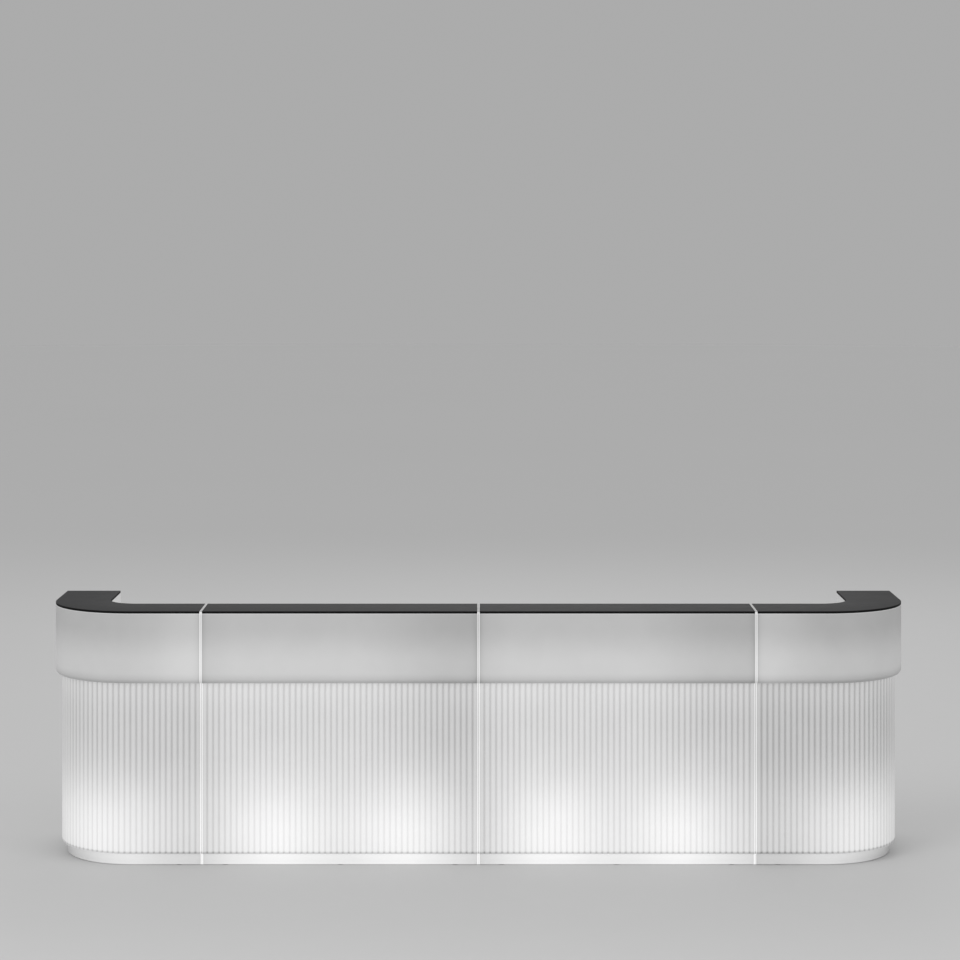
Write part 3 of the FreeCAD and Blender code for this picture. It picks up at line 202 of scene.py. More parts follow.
def length(name, description, default):
    return FloatProperty(name=name, description=description, default=default, min=0.0,
                         precision=5, subtype="DISTANCE", unit="LENGTH")


def colour(name, description, default):
    return FloatVectorProperty(name=name, description=description, default=default, size=3,
                               min=0.0, max=1.0, subtype="COLOR")


def level(name, description, default):
    return FloatProperty(name=name, description=description, default=default, min=0.0, max=1.0)


class CounterSizes(bpy.types.PropertyGroup):
    """Sizes of the finer shapes."""

    end_rounding: length("End rounding", "Rounding of a moulded body's end edges", 0.0012)
    top_rounding: length("Top rounding", "Rounding of a moulded body's top edges", 0.0020)
    rib_end_rounding: length("Rib end rounding", "Rounding of the ribs' lower ends", 0.0050)
    laminate_arris: length("Laminate arris", "Eased edge of the counter top", 0.0008)
    board_arris: length("Board arris", "Eased edge of a shelf board", 0.0007)
    sheet_arris: length("Sheet arris", "Eased edge of covers and steel plates", 0.0005)
    thread_pitch: length("Thread pitch", "Pitch of the thread in an insert", 0.00125)
    rib_steps: IntProperty(name="Rib steps", description="Columns over a rib's crown", default=6,
                           min=4, max=12)


class CounterColours(bpy.types.PropertyGroup):
    """Colours of the finishes."""

    polyethylene: colour("Polyethylene", "Moulded bodies, unlit", (0.40, 0.40, 0.40))
    laminate: colour("Counter laminate", "Faces of the counter top", (0.039, 0.039, 0.040))
    core: colour("Laminate core", "Edges of the compact laminate", (0.006, 0.006, 0.006))
    shelf: colour("Shelf laminate", "Faces of the shelf boards", (0.056, 0.056, 0.058))
    cover: colour("Cover", "Sheets over the openings in the rear walls", (0.80, 0.80, 0.79))
    nylon: colour("Black nylon", "Mains inlets", (0.020, 0.020, 0.020))
    rocker: colour("Rocker", "Rockers of the switches", (0.025, 0.025, 0.025))
    marks: colour("Rocker marks", "Marks on the rockers", (0.80, 0.80, 0.80))
    sheath: colour("Cable sheath", "Mains cables inside", (0.70, 0.70, 0.68))
    glide: colour("Glides", "Glides under the bodies", (0.10, 0.10, 0.10))
    leg: colour("Legs", "Legs under the shelf units", (0.030, 0.030, 0.030))
    aluminium: colour("Aluminium", "Lamp bases", (0.80, 0.80, 0.80))
    opal: colour("Opal", "Lamp globes", (0.95, 0.94, 0.90))
    brass: colour("Brass", "Threaded inserts", (0.75, 0.60, 0.30))
    zinc: colour("Zinc", "Steel plates, brackets, screws and pins", (0.62, 0.62, 0.62))
    floor: colour("Floor", "Studio floor", (0.52, 0.52, 0.52))
    air: colour("Air", "Soft light from all round", (0.80, 0.80, 0.80))
    backdrop: colour("Backdrop", "What is seen behind the floor", (0.411, 0.411, 0.411))


class CounterGlow(bpy.types.PropertyGroup):
    """How the light inside shows on the moulded bodies."""

    ribs: level("Ribs", "Glow of the ribbed wall away from the lamps", 0.357)
    band: level("Band", "Glow of the smooth band", 0.128)
    lamp: level("Lamp", "Added glow in front of a lamp", 0.30)
    reach: length("Lamp reach", "How far a lamp's own glow spreads", 0.26)


# ---- shader maths --------------------------------------------------------------------------------

class Wire:
    """A node's output in a formula: arithmetic on it adds Math nodes."""

    def __init__(self, recipe, socket):
        self.recipe = recipe
        self.socket = socket

    def maths(self, operation, *values):
        return self.recipe.maths(operation, self, *values)

    def reflected(self, operation, first):
        return self.recipe.maths(operation, first, self)

    __add__ = __radd__ = partialmethod(maths, "ADD")
    __sub__ = partialmethod(maths, "SUBTRACT")
    __rsub__ = partialmethod(reflected, "SUBTRACT")
    __mul__ = __rmul__ = partialmethod(maths, "MULTIPLY")
    __truediv__ = partialmethod(maths, "DIVIDE")
    __rtruediv__ = partialmethod(reflected, "DIVIDE")
    __pow__ = partialmethod(maths, "POWER")
    __rpow__ = partialmethod(reflected, "POWER")
    __abs__ = partialmethod(maths, "ABSOLUTE")
    least = partialmethod(maths, "MINIMUM")
    most = partialmethod(maths, "MAXIMUM")
    below = partialmethod(maths, "LESS_THAN")
    above = partialmethod(maths, "GREATER_THAN")
    exp = partialmethod(maths, "EXPONENT")

    def bell(self, centre, width):
        """Bell curve: e to the minus of the squared distance from centre over width."""
        away = (self - centre) / width
        return (away * away * -1.0).exp()

    def ramp(self, start, end, low=0.0, high=1.0):
        """Soft step from low at start to high at end."""
        return self.recipe.node("ShaderNodeMapRange", {"interpolation_type": "SMOOTHSTEP"},
                                self, start, end, low, high)


class Recipe:
    """The nodes of a material or a world, written as formulas on wires that end in one node."""

    def __init__(self, owner, last, **constants):
        owner.use_nodes = True
        self.owner = owner
        self.tree = owner.node_tree
        self.last = self.tree.nodes[last]
        for socket, value in constants.items():
            self.last.inputs[socket.replace("_", " ")].default_value = value

    def node(self, kind, settings, *values, output=0, **named):
        """Add a node: its settings first, then the values or wires of its sockets."""
        made = self.tree.nodes.new(kind)
        for key, setting in settings.items():
            setattr(made, key, setting)
        for key, value in list(enumerate(values)) + list(named.items()):
            socket = made.inputs[key]
            if isinstance(value, Wire):
                self.tree.links.new(value.socket, socket)
            else:
                socket.default_value = value
        return Wire(self, made.outputs[output])

    def maths(self, operation, *values):
        return self.node("ShaderNodeMath", {"operation": operation}, *values)

    def place(self):
        """Object coordinates, whole and as x, y and z."""
        spot = self.node("ShaderNodeTexCoord", {}, output="Object")
        return spot, *(self.node("ShaderNodeSeparateXYZ", {}, spot, output=axis)
                       for axis in "XYZ")

    def noise(self, spot, scale, detail=2.0):
        """Noise between 0 and 1, centred on one half."""
        return self.node("ShaderNodeTexNoise", {}, Vector=spot, Scale=scale, Detail=detail,
                         output="Fac")

    def mix(self, share, first, second):
        """A colour between two others."""
        return self.node("ShaderNodeMix", {"data_type": "RGBA"}, share, A=first, B=second,
                         output="Result")

    def grey(self, value):
        """A neutral colour from a number."""
        return self.node("ShaderNodeCombineColor", {}, value, value, value)

    def bump(self, height, distance, strength=1.0):
        """Normals that follow a height, whose full range stands for the distance."""
        return self.node("ShaderNodeBump", {}, Strength=strength, Distance=distance,
                         Height=height)

    def feed(self, **wires):
        """Link the last node's sockets, and give back the finished material or world."""
        for socket, wire in wires.items():
            self.tree.links.new(wire.socket, self.last.inputs[socket.replace("_", " ")])
        return self.owner


def finish_recipe(name, **constants):
    """Recipe of a new material, with the plain values of its shader's sockets."""
    return Recipe(bpy.data.materials.new(name), "Principled BSDF", **constants)


def rgba(tone, factor=1.0):
    return (tone[0] * factor, tone[1] * factor, tone[2] * factor, 1.0)


def speckled(name, tone, scale, spread, roughness, bump, **constants):
    """A moulded or coated finish: fine mottling of its tone, its roughness and its height."""
    recipe = finish_recipe(name, **constants)
    spot = recipe.place()[0]
    fine = recipe.noise(spot, scale)
    broad = recipe.noise(spot, scale / 25, 3.0)
    share = fine * 0.6 + broad * 0.4
    return recipe.feed(
        Base_Color=recipe.mix(share, rgba(tone, 1 - spread), rgba(tone, 1 + spread)),
        Roughness=broad * 0.16 + (roughness - 0.08),
        Normal=recipe.bump(fine, bump))


def brushed(name, tone, scale, roughness, stretch):
    """Bare metal: fine lines close together along z, over broad patches of dullness."""
    recipe = finish_recipe(name, Metallic=1.0)
    spot = recipe.place()[0]
    drawn = recipe.node("ShaderNodeMapping", {}, Vector=spot, Scale=(1, 1, stretch))
    lines = recipe.noise(drawn, scale, 4.0)
    patches = recipe.noise(spot, scale / 12, 3.0)
    return recipe.feed(
        Base_Color=recipe.mix(lines, rgba(tone, 0.86), rgba(tone, 1.08)),
        Roughness=lines * 0.15 + patches * 0.2 + (roughness - 0.17),
        Normal=recipe.bump(lines, 0.00002))


# ---- mesh making: a shape is a pair, its points and its faces ------------------------------------

def outward(points, faces):
    """Shape with all faces turned round where its volume, summed over fans of triangles, is
    negative."""
    fans = np.array([(face[0], face[k], face[k + 1]) for face in faces
                     for k in range(1, len(face) - 1)])
    a, b, c = (points[fans[:, k]] for k in range(3))
    volume = np.einsum("ij,ij->", a, np.cross(b, c))
    return points, faces if volume > 0 else [tuple(face)[::-1] for face in faces]


def grid_faces(count_u, count_v, wrap_u, wrap_v):
    """Quads of a grid whose point (u, v) has the number u * count_v + v."""
    u = np.arange(count_u if wrap_u else count_u - 1)[:, None]
    v = np.arange(count_v if wrap_v else count_v - 1)[None, :]
    u2, v2 = (u + 1) % count_u, (v + 1) % count_v
    quads = np.stack((u * count_v + v, u2 * count_v + v, u2 * count_v + v2, u * count_v + v2), -1)
    return [tuple(quad) for quad in quads.reshape(-1, 4).tolist()]


def closed_tube(grid):
    """Solid from rings of points, grid[u]: its last two faces cap the end rings."""
    count_u, count_v = grid.shape[:2]
    caps = [tuple(range(count_v))[::-1], tuple(range((count_u - 1) * count_v, count_u * count_v))]
    return outward(grid.reshape(-1, 3), grid_faces(count_u, count_v, False, True) + caps)


def joined(shapes):
    """One shape from several; their faces keep their order."""
    points, faces, start = [], [], 0
    for shape_points, shape_faces in shapes:
        points.append(shape_points)
        faces.extend(tuple(index + start for index in face) for face in shape_faces)
        start += len(shape_points)
    return np.concatenate(points), faces


def new_object(name, shape, finishes, marks=None, angle=35.0):
    """Mesh object at the origin; marks gives each face's finish, angle parts its sharp edges."""
    points, faces = shape
    mesh = bpy.data.meshes.new(name)
    mesh.from_pydata(points.tolist(), [], faces)
    for finish in finishes:
        mesh.materials.append(finish)
    if marks is not None:
        mesh.polygons.foreach_set("material_index", np.asarray(marks, np.int32))
    mesh.shade_smooth()
    mesh.set_sharp_from_angle(angle=math.radians(angle))
    mesh.update()
    made = bpy.data.objects.new(name, mesh)
    bpy.context.scene.collection.objects.link(made)
    return made


def piece(name, node, slot, shape, *finishes, body="root", marks=None, angle=35.0):
    """A finished piece that stands for a CAD node and rides on its body."""
    made = new_object(name, shape, [finish_of(finish) for finish in finishes], marks, angle)
    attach(made, body)
    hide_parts(node)
    return made


def arc(x, y, radius, start, end, steps):
    """Points on an arc about (x, y), from start to end in degrees."""
    turn = np.radians(np.linspace(start, end, steps + 1))
    return np.stack((x + radius * np.cos(turn), y + radius * np.sin(turn)), -1)


def rounded_outline(width, tall, radius, steps=5):
    """Rectangle about the origin with round corners, anticlockwise."""
    w, t = width / 2 - radius, tall / 2 - radius
    centres = ((w, t, 0), (-w, t, 90), (-w, -t, 180), (w, -t, 270))
    return np.concatenate([arc(x, y, radius, start, start + 90, steps)
                           for x, y, start in centres])


def shrunk(outline, inset):
    """Outline moved inwards: each corner goes along the mitre of its two sides."""
    ahead = np.roll(outline, -1, 0) - outline
    ahead /= np.linalg.norm(ahead, axis=1, keepdims=True)
    normal = np.stack((-ahead[:, 1], ahead[:, 0]), -1)
    before = np.roll(normal, 1, 0)
    mitre = normal + before
    mitre /= (mitre * normal).sum(1, keepdims=True)
    return outline + mitre * inset


def softened(outline, radius):
    """Outline with each corner cut by three points near an arc of that radius."""
    def toward(others):
        way = others - outline
        return radius * way / np.linalg.norm(way, axis=1, keepdims=True)
    before, after = toward(np.roll(outline, 1, 0)), toward(np.roll(outline, -1, 0))
    return np.stack((outline + before, outline + 0.293 * (before + after), outline + after),
                    1).reshape(-1, 2)


def level_ring(outline, height):
    return np.column_stack((outline, np.full(len(outline), height)))


def quarter_round(arris, steps=3):
    """An eased edge's insets and depths, from the face down to the full width."""
    turn = np.radians(np.linspace(0, 90, steps + 1))
    return arris * (1 - np.sin(turn)), arris * (1 - np.cos(turn))


def rim_rings(outline, thickness, arris):
    """Rings from face to face of a plate, with a quarter round of the arris at both faces."""
    inset, rise = quarter_round(arris)
    return [level_ring(shrunk(outline, i), d)
            for i, d in zip(np.append(inset, inset[::-1]), np.append(rise, thickness - rise[::-1]))]


def eased_plate(outline, thickness, arris):
    """Plate from 0 to thickness with eased edges; its last two faces are its flat ones."""
    return closed_tube(np.array(rim_rings(outline, thickness, arris)))


def holed_plate(outer, inner, thickness, arris):
    """Plate with one opening: rings run over its outer rim, its face, the opening and its back."""
    rings = rim_rings(outer, thickness, arris) + [level_ring(inner, d) for d in (thickness, 0.0)]
    return outward(np.concatenate(rings), grid_faces(len(rings), len(outer), True, True))


def straight_bar(outline, start, end):
    """Bar of one outline along +Z."""
    return closed_tube(np.array([level_ring(outline, height) for height in (start, end)]))


def lathe(profile, segments=24, recess=None):
    """Turned solid about +Z from (radius, height) corners in millimetres, on its axis at both
    ends; a recess gives its first two rows a radius that is a function of the angle."""
    profile = np.array(profile, float) / 1000
    turn = np.linspace(0, 2 * np.pi, segments, endpoint=False)
    rows = profile[1:-1]
    radius = np.repeat(rows[:, :1], segments, 1)
    if recess:
        radius[:2] = recess(turn)
    grid = np.stack((radius * np.cos(turn), radius * np.sin(turn),
                     np.repeat(rows[:, 1:], segments, 1)), -1)
    points = np.concatenate((grid.reshape(-1, 3), [(0, 0, profile[0, 1]), (0, 0, profile[-1, 1])]))
    faces = grid_faces(len(rows), segments, False, True)
    low, last = len(points) - 2, len(points) - 2 - segments
    for side in range(segments):
        after = (side + 1) % segments
        faces += [(low, after, side), (low + 1, last + side, last + after)]
    return outward(points, faces)


def ring_lathe(profile, segments=24):
    """Turned ring about +Z from a closed loop of (radius, height) corners."""
    turn = np.linspace(0, 2 * np.pi, segments, endpoint=False)
    grid = np.stack((profile[:, :1] * np.cos(turn), profile[:, :1] * np.sin(turn),
                     np.repeat(profile[:, 1:], segments, 1)), -1)
    return outward(grid.reshape(-1, 3), grid_faces(len(profile), segments, True, True))


def hexagon(across):
    """Radius of a hexagon with the given width across its flats."""
    return lambda turn: across / 2 / np.cos((turn + np.pi / 6) % (np.pi / 3) - np.pi / 6)


def cross(arm, half):
    """Radius of a cross whose arms are arm long and twice half wide."""
    def form(turn):
        c = np.maximum(np.abs(np.cos(turn)), 1e-6)
        s = np.maximum(np.abs(np.sin(turn)), 1e-6)
        return np.maximum(np.minimum(arm / c, half / s), np.minimum(arm / s, half / c))
    return form


def laid(shape, origin, across, up=(0, 0, 1)):
    """Shape set in space: its x goes across, its y goes up, its z along their cross product."""
    points, faces = shape
    across, up = np.array(across, float), np.array(up, float)
    return np.array(origin) + points @ np.array((across, up, np.cross(across, up))), faces


def pointed(shape, spot, axis):
    """Shape turned so that its +Z becomes the axis, then moved to the spot."""
    points, faces = shape
    turn = Vector((0, 0, 1)).rotation_difference(Vector(axis)).to_matrix()
    return points @ np.array(turn).T + np.array(spot), faces


def set_out(shape, spots):
    """A copy of the shape at each spot, pointed along the axis there, as one shape."""
    return joined(pointed(shape, spot, axis) for spot, axis in spots)


def solids_of(node):
    """The points of each separate solid of a CAD node: loose parts, found by passing the lowest
    label along every edge until none changes."""
    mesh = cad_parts[node].data
    points = np.empty(len(mesh.vertices) * 3)
    mesh.vertices.foreach_get("co", points)
    keys, same = np.unique(np.round(points.reshape(-1, 3), 6), axis=0, return_inverse=True)
    edges = np.empty(len(mesh.edges) * 2, np.int32)
    mesh.edges.foreach_get("vertices", edges)
    ends = same.reshape(-1)[edges].reshape(-1, 2)
    label = np.arange(len(keys))
    changed = True
    while changed:
        lower = label.copy()
        least = label[ends].min(1)
        np.minimum.at(lower, ends[:, 0], least)
        np.minimum.at(lower, ends[:, 1], least)
        lower = lower[lower]
        changed = not np.array_equal(lower, label)
        label = lower
    return [keys[label == number] for number in np.unique(label)]


def extent(node):
    """Lowest corner, highest corner and middle of a CAD node."""
    low, high = (np.array(corner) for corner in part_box(node))
    return low, high, (low + high) / 2


def spans(node):
    """Lowest corner, highest corner and middle of each separate solid of a CAD node."""
    return [(points.min(0), points.max(0), (points.min(0) + points.max(0)) / 2)
            for points in solids_of(node)]


def screw_spots(node):
    """Where each screw of a CAD node has the middle of its head's face, and where that looks."""
    spots = []
    for points in solids_of(node):
        low, high = points.min(0), points.max(0)
        along = int(np.argmax(high - low))
        wide_low, wide_high = (np.ptp(points[np.abs(points[:, along] - end) < CLOSE], axis=0).max()
                               for end in (low[along], high[along]))
        spot = (low + high) / 2
        spot[along] = high[along] if wide_high > wide_low else low[along]
        spots.append((spot, np.eye(3)[along] * (1.0 if wide_high > wide_low else -1.0)))
    return spots


def insert_spots():
    """Where each threaded insert has the middle of its open end, and where that looks: out of a
    rear wall, or out of the inner wall of an arm."""
    spots = []
    for low, high, spot in spans("threaded_inserts"):
        side = 1.0 if spot[0] < 0 else -1.0
        axis = (0, 1, 0) if abs(high[1] - REAR_Y) < CLOSE else (side, 0, 0)
        if axis[1]:
            spot[1] = high[1]
        else:
            spot[0] = -side * ARM_WALL
        spots.append((spot, axis))
    return spots


def cut(made, cutters):
    """Take closed shapes out of a piece."""
    tool = new_object(made.name + "_tool", joined(cutters), [])
    modifier = made.modifiers.new("Openings", "BOOLEAN")
    modifier.operation = "DIFFERENCE"
    modifier.solver = "EXACT"
    modifier.object = tool
    bpy.context.view_layer.update()
    whole = made.data
    made.data = bpy.data.meshes.new_from_object(
        made.evaluated_get(bpy.context.evaluated_depsgraph_get()))
    made.modifiers.clear()
    bpy.data.objects.remove(tool)
    bpy.data.meshes.remove(whole)
    made.data.name = made.name
    made.data.set_sharp_from_angle(angle=math.radians(35))


# ---- the module's plan line and the moulded body -------------------------------------------------

def plan_line(module, along):
    """Points on the band's plan line and the inward directions there, at distances along it.

    A straight module runs from its right end to its left end. A corner runs from its seam, round
    a quarter circle of the band's radius, and out along its arm; the right one is mirrored."""
    if module in STRAIGHT:
        right = 0.0 if module == "left_straight" else SEAM
        spot = np.stack((right - along, np.full_like(along, BAND_Y)), -1)
        return spot, np.stack((np.zeros_like(along), np.ones_like(along)), -1)
    turn = np.clip((along - CORNER_RUN) / BAND_RADIUS, 0, np.pi / 2)
    first = np.minimum(along, CORNER_RUN)
    arm = np.maximum(along - CORNER_RUN - BAND_RADIUS * np.pi / 2, 0)
    x = CORNER - first - BAND_RADIUS * np.sin(turn)
    y = BAND_RADIUS * (1 - np.cos(turn)) + arm
    side = 1.0 if module == "left_corner" else -1.0
    spot = np.stack((side * (x - SEAM - CORNER), y + BAND_Y), -1)
    return spot, np.stack((side * np.sin(turn), np.cos(turn)), -1)


def line_length(module):
    return SEAM if module in STRAIGHT else 2 * CORNER_RUN + BAND_RADIUS * np.pi / 2


def rib_zones(module):
    """Rows of ribs: start and end along the line, number, and real width over width along it."""
    if module in STRAIGHT:
        return ((0.0, SEAM, STRAIGHT_RIBS, 1.0),)
    bend = CORNER_RUN + BAND_RADIUS * np.pi / 2
    crown = (BAND_RADIUS - VALLEY + RIB_DEPTH) / BAND_RADIUS
    return ((0.0, CORNER_RUN, RUN_RIBS, 1.0), (CORNER_RUN, bend, BEND_RIBS, crown),
            (bend, bend + CORNER_RUN, RUN_RIBS, 1.0))


def rib_height(away, pitch):
    """Rib profile: a crown arc, and a hollow arc tangent to it that fills the valley.

    With c half the chord and h the rib's depth, the crown's radius is R = (c*c + h*h) / 2h, and
    the valley's is r = (p*p/4 + (R - h)**2 - R*R) / 2h; they meet at p/2 * R / (R + r)."""
    chord = (pitch - RIB_VALLEY) / 2
    crown = (chord ** 2 + RIB_DEPTH ** 2) / (2 * RIB_DEPTH)
    hollow = ((pitch / 2) ** 2 + (crown - RIB_DEPTH) ** 2 - crown ** 2) / (2 * RIB_DEPTH)
    meet = pitch / 2 * crown / (crown + hollow)
    away = np.abs(away)
    top = np.sqrt(np.maximum(crown ** 2 - away ** 2, 0)) - (crown - RIB_DEPTH)
    low = hollow - np.sqrt(np.maximum(hollow ** 2 - (pitch / 2 - away) ** 2, 0))
    return np.where(away < meet, top, low), meet, crown, hollow


def rib_columns(module, steps):
    """Distances along the line: even turns of angle over each crown and each valley."""
    columns = [np.array((0.0, line_length(module)))]
    for start, end, count, real in rib_zones(module):
        width = (end - start) / count
        pitch = width * real
        _, meet, crown, hollow = rib_height(np.zeros(1), pitch)
        reach = math.asin(meet / crown)
        over = crown * np.sin(np.linspace(-reach, reach, steps + 1))
        dip = hollow * np.sin(np.linspace(0, reach, 3)[:-1])
        one = np.concatenate((dip - pitch / 2, over, pitch / 2 - dip[1:]))
        middles = start + (np.arange(count) + 0.5) * width
        columns.append((middles[:, None] + one[None, :] / real).ravel())
    return np.unique(np.round(np.concatenate(columns), 7))


def ribs_at(module, along):
    """Height of the ribs at distances along the line."""
    height = np.zeros_like(along)
    for start, end, count, real in rib_zones(module):
        width = (end - start) / count
        inside = (along >= start) & (along <= end)
        local = (along - start) % width - width / 2
        height = np.where(inside, rib_height(local * real, width * real)[0], height)
    return height


def end_columns(sizes):
    """Columns at a module's end: distance, inset of the section, and lift of the rim, which
    stands as high as the counter top and rounds down to nothing beside it."""
    lift = COUNTER_TOP - BODY_TOP
    inset, away = quarter_round(sizes.end_rounding, 2)
    rounding = [(distance, amount, lift) for distance, amount in zip(away, inset)]
    edge = [(distance, 0, lift - drop) for distance, drop in RIM_EDGE]
    return np.array(rounding + edge + [(RIM_FOOT, 0, 0)])


def body_section(sizes):
    """Side view as a loop of (depth, height, share of rib, share of rim), and its inward
    directions."""
    top, end = sizes.top_rounding, sizes.rib_end_rounding
    foot = UNDERSIDE + FOOT_ROUNDING
    valley, plinth = VALLEY - VALLEY_ROUNDING, PLINTH - PLINTH_ROUNDING
    parts = (
        (arc(top, BODY_TOP - top, top, 90, 180, 3), 0, 1),
        ([(0, height) for height in (BODY_TOP - 2 * top, *BAND_ROWS)], 0, 0),
        (arc(BAND_ROUNDING, BAND_BOTTOM + BAND_ROUNDING, BAND_ROUNDING, 180, 270, 8), 0, 0),
        (arc(valley, BAND_BOTTOM - VALLEY_ROUNDING, VALLEY_ROUNDING, 90, 0, 3), 1, 0),
        (arc(VALLEY + end, PLINTH_TOP + end, end, 180, 270, 5), 1, 0),
        (arc(plinth, PLINTH_TOP - PLINTH_ROUNDING, PLINTH_ROUNDING, 90, 0, 3), 0, 0),
        ([(PLINTH + deep, height) for deep, height in GROOVE], 0, 0),
        (arc(PLINTH + FOOT_ROUNDING, foot, FOOT_ROUNDING, 180, 270, 3), 0, 0),
        (arc(DEPTH - FOOT_ROUNDING, foot, FOOT_ROUNDING, 270, 360, 3), 0, 0),
        ([(DEPTH, BODY_TOP - 2 * top)], 0, 0),
        (arc(DEPTH - top, BODY_TOP - top, top, 0, 90, 3), 0, 1),
    )
    rows = np.concatenate([np.column_stack((points, np.full(len(points), rib),
                                            np.full(len(points), rim)))
                           for points, rib, rim in parts])
    ahead = np.roll(rows[:, :2], -1, 0) - np.roll(rows[:, :2], 1, 0)
    inward = np.stack((-ahead[:, 1], ahead[:, 0]), -1)
    inward /= np.linalg.norm(inward, axis=1, keepdims=True)
    height = rows[:, 1]
    groove = (height >= GROOVE[-1][1]) & (height <= GROOVE[0][1]) & (rows[:, 0] < DEPTH / 2)
    inward[groove] = (1, 0)
    return rows, inward


def moulded_body(module, sizes):
    """The body's outer skin: the side view, carried along the plan line.

    A point is plan(s) + inward(s) * (depth - rib * height(s) + inset) at height + rim * lift."""
    total = line_length(module)
    ends = end_columns(sizes)
    inner = rib_columns(module, sizes.rib_steps)
    clear = RIM_FOOT + 4 * CLOSE
    inner = inner[(inner > clear) & (inner < total - clear)]
    along = np.concatenate((ends[:, 0], inner, total - ends[::-1, 0]))
    blank = np.zeros(len(inner))
    inset, lift = (np.concatenate((ends[:, k], blank, ends[::-1, k]))[:, None] for k in (1, 2))
    rows, inward = body_section(sizes)
    section_depth, section_height, rib, rim = rows.T[:, None, :]
    spot, normal = plan_line(module, along)
    depth = section_depth - rib * ribs_at(module, along)[:, None] + inset * inward[:, 0]
    height = section_height + rim * lift + inset * inward[:, 1]
    plan = spot[:, None, :] + normal[:, None, :] * depth[:, :, None]
    return closed_tube(np.concatenate((plan, height[:, :, None]), -1))


def rear_openings(module):
    """The openings behind the covers and the pockets of the inserts, as closed shapes."""
    opening = straight_bar(rounded_outline(*COVER_OPENING, COVER_ROUNDING), -OPENING_DEPTH,
                           CUTTER_PROUD)
    pocket = straight_bar(arc(0, 0, INSERT_RADIUS + INSERT_FIT, 0, 330, 11),
                          -INSERT_LENGTH - 2 * INSERT_FIT, CUTTER_PROUD)
    covers = [extent(node) for node in (module + "_service_cover", module + "_lamp_cover")
              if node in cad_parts]
    low, high, _ = extent(module + "_body")
    return [pointed(opening, (middle[0], REAR_Y, middle[2]), (0, 1, 0))
            for _, _, middle in covers] + [
        pointed(pocket, spot, axis) for spot, axis in insert_spots() if low[0] < spot[0] < high[0]]


# ---- finishes ------------------------------------------------------------------------------------

def polyethylene(colours, glow):
    """Milky moulded wall with light behind it.

    depth is the distance in from the band's plan line, and share runs from 0 to 1 over a straight
    module. Distances are in metres, and levels of glow run from 0 to 1. The glow is a sum of
    plain terms: a level for the band and one for the ribbed wall, a bell about each lamp, a lift
    under the band, less light in the valleys, round the band's lower edge, towards a module's
    ends and on the corners, and a bright rim with a soft shade beside it at each seam."""
    recipe = finish_recipe("lit_polyethylene", IOR=1.5, Emission_Strength=1.0)
    spot, x, y, z = recipe.place()
    side = abs(x)
    out_x = (side - (SEAM + CORNER_RUN)).most(0.0)
    out_y = ((BAND_Y + BAND_RADIUS) - y).most(0.0)
    depth = BAND_RADIUS - (out_x * out_x + out_y * out_y) ** 0.5
    outer = depth.ramp(0.16, 0.10) * y.ramp(ARM_END - 0.0004, ARM_END - 0.0016)
    corner, right_corner = (across.ramp(SEAM - 0.0005, SEAM + 0.0005) for across in (side, x))
    band_part = outer * z.ramp(BAND_BOTTOM - 0.0005, BAND_BOTTOM + 0.0005)
    plinth = depth.ramp(0.045, 0.051) * outer
    valleys = depth.ramp(0.0275, 0.0338) * outer

    lamps = 0.0
    for glow_spot in GLOW_SPOTS:
        a, b, c = (place - middle for place, middle in zip((side, y, z), glow_spot))
        lamps = ((a * a + b * b + c * c) * (-1.0 / glow.reach ** 2)).exp() + lamps

    band = (z.ramp(1.04, 0.87, 0.0, 0.115) - z.ramp(0.838, 0.790, 0.0, 0.11)
            + side.ramp(1.55, SEAM, 0.0, 0.10) * corner + glow.band)
    # Painted shadow: a dark line where the ribs end over the plinth. The plinth gets more glow,
    # most at its top, and less on the corners.
    wall = (z.bell(0.79, 0.10) * (outer * 0.05) + z.bell(0.786, 0.018) * (outer * 0.03)
            - z.bell(0.058, 0.005) * (outer - plinth) * 0.25 - valleys * 0.13
            + z.ramp(0.015, 0.045, 0.11, 0.20) * plinth
            - side.ramp(1.45, 1.78, 0.0, 0.22) * y.ramp(0.15, -0.10) * plinth
            - corner * plinth * 0.04 + glow.ribs)
    value = wall + band_part * (band - wall) + lamps * glow.lamp

    share = (x / SEAM).maths("FRACT")
    ends = (share.ramp(0.52, 0.94, 0.0, 0.09) * z.ramp(0.10, 0.60, 0.2, 1.0)
            + share.ramp(0.13, 0.0, 0.0, 0.038))
    corners = (y.ramp(-0.20, 0.0, 0.055, 0.085) - z.ramp(0.50, 0.20, 0.0, 0.055)
               + right_corner * (0.060 - band_part * 0.020)
               + side.ramp(1.62, 1.84, 0.022, 0.065) * (1.0 - band_part))
    value = value - ends * (1.0 - corner) - corners * corner

    seam = side.least(abs(side - SEAM))
    rim = seam.ramp(0.0057, 0.0044) * (seam.ramp(0.0005, 0.0026) * 0.85 + 0.15)
    shade = ((seam - 0.006) * -100.0).exp() * seam.ramp(0.0045, 0.0062)
    value = value + rim * 0.34 - shade * (band_part * 0.05 + 0.05)
    # Painted highlight: a thin bright line just under the band's top edge. Above the body's top,
    # the rims' tops get much less glow.
    value = value + z.ramp(BODY_TOP - 0.0045, BODY_TOP - 0.0020) * outer * 0.10
    value = value - z.ramp(BODY_TOP + 0.006, BODY_TOP + 0.0085, 0.0, 0.42)

    skin = recipe.noise(spot, 260.0, 2.0)
    cloud = recipe.noise(spot, 9.0, 3.0)
    tone = colours.polyethylene
    return recipe.feed(
        Base_Color=recipe.mix(cloud, rgba(tone, 0.97), rgba(tone, 1.03)),
        Emission_Color=recipe.grey((value + (cloud - 0.5) * 0.02).most(0.0).least(1.0)),
        Roughness=skin * 0.12 + 0.38,
        Normal=recipe.bump(skin, 0.00012, 0.5))


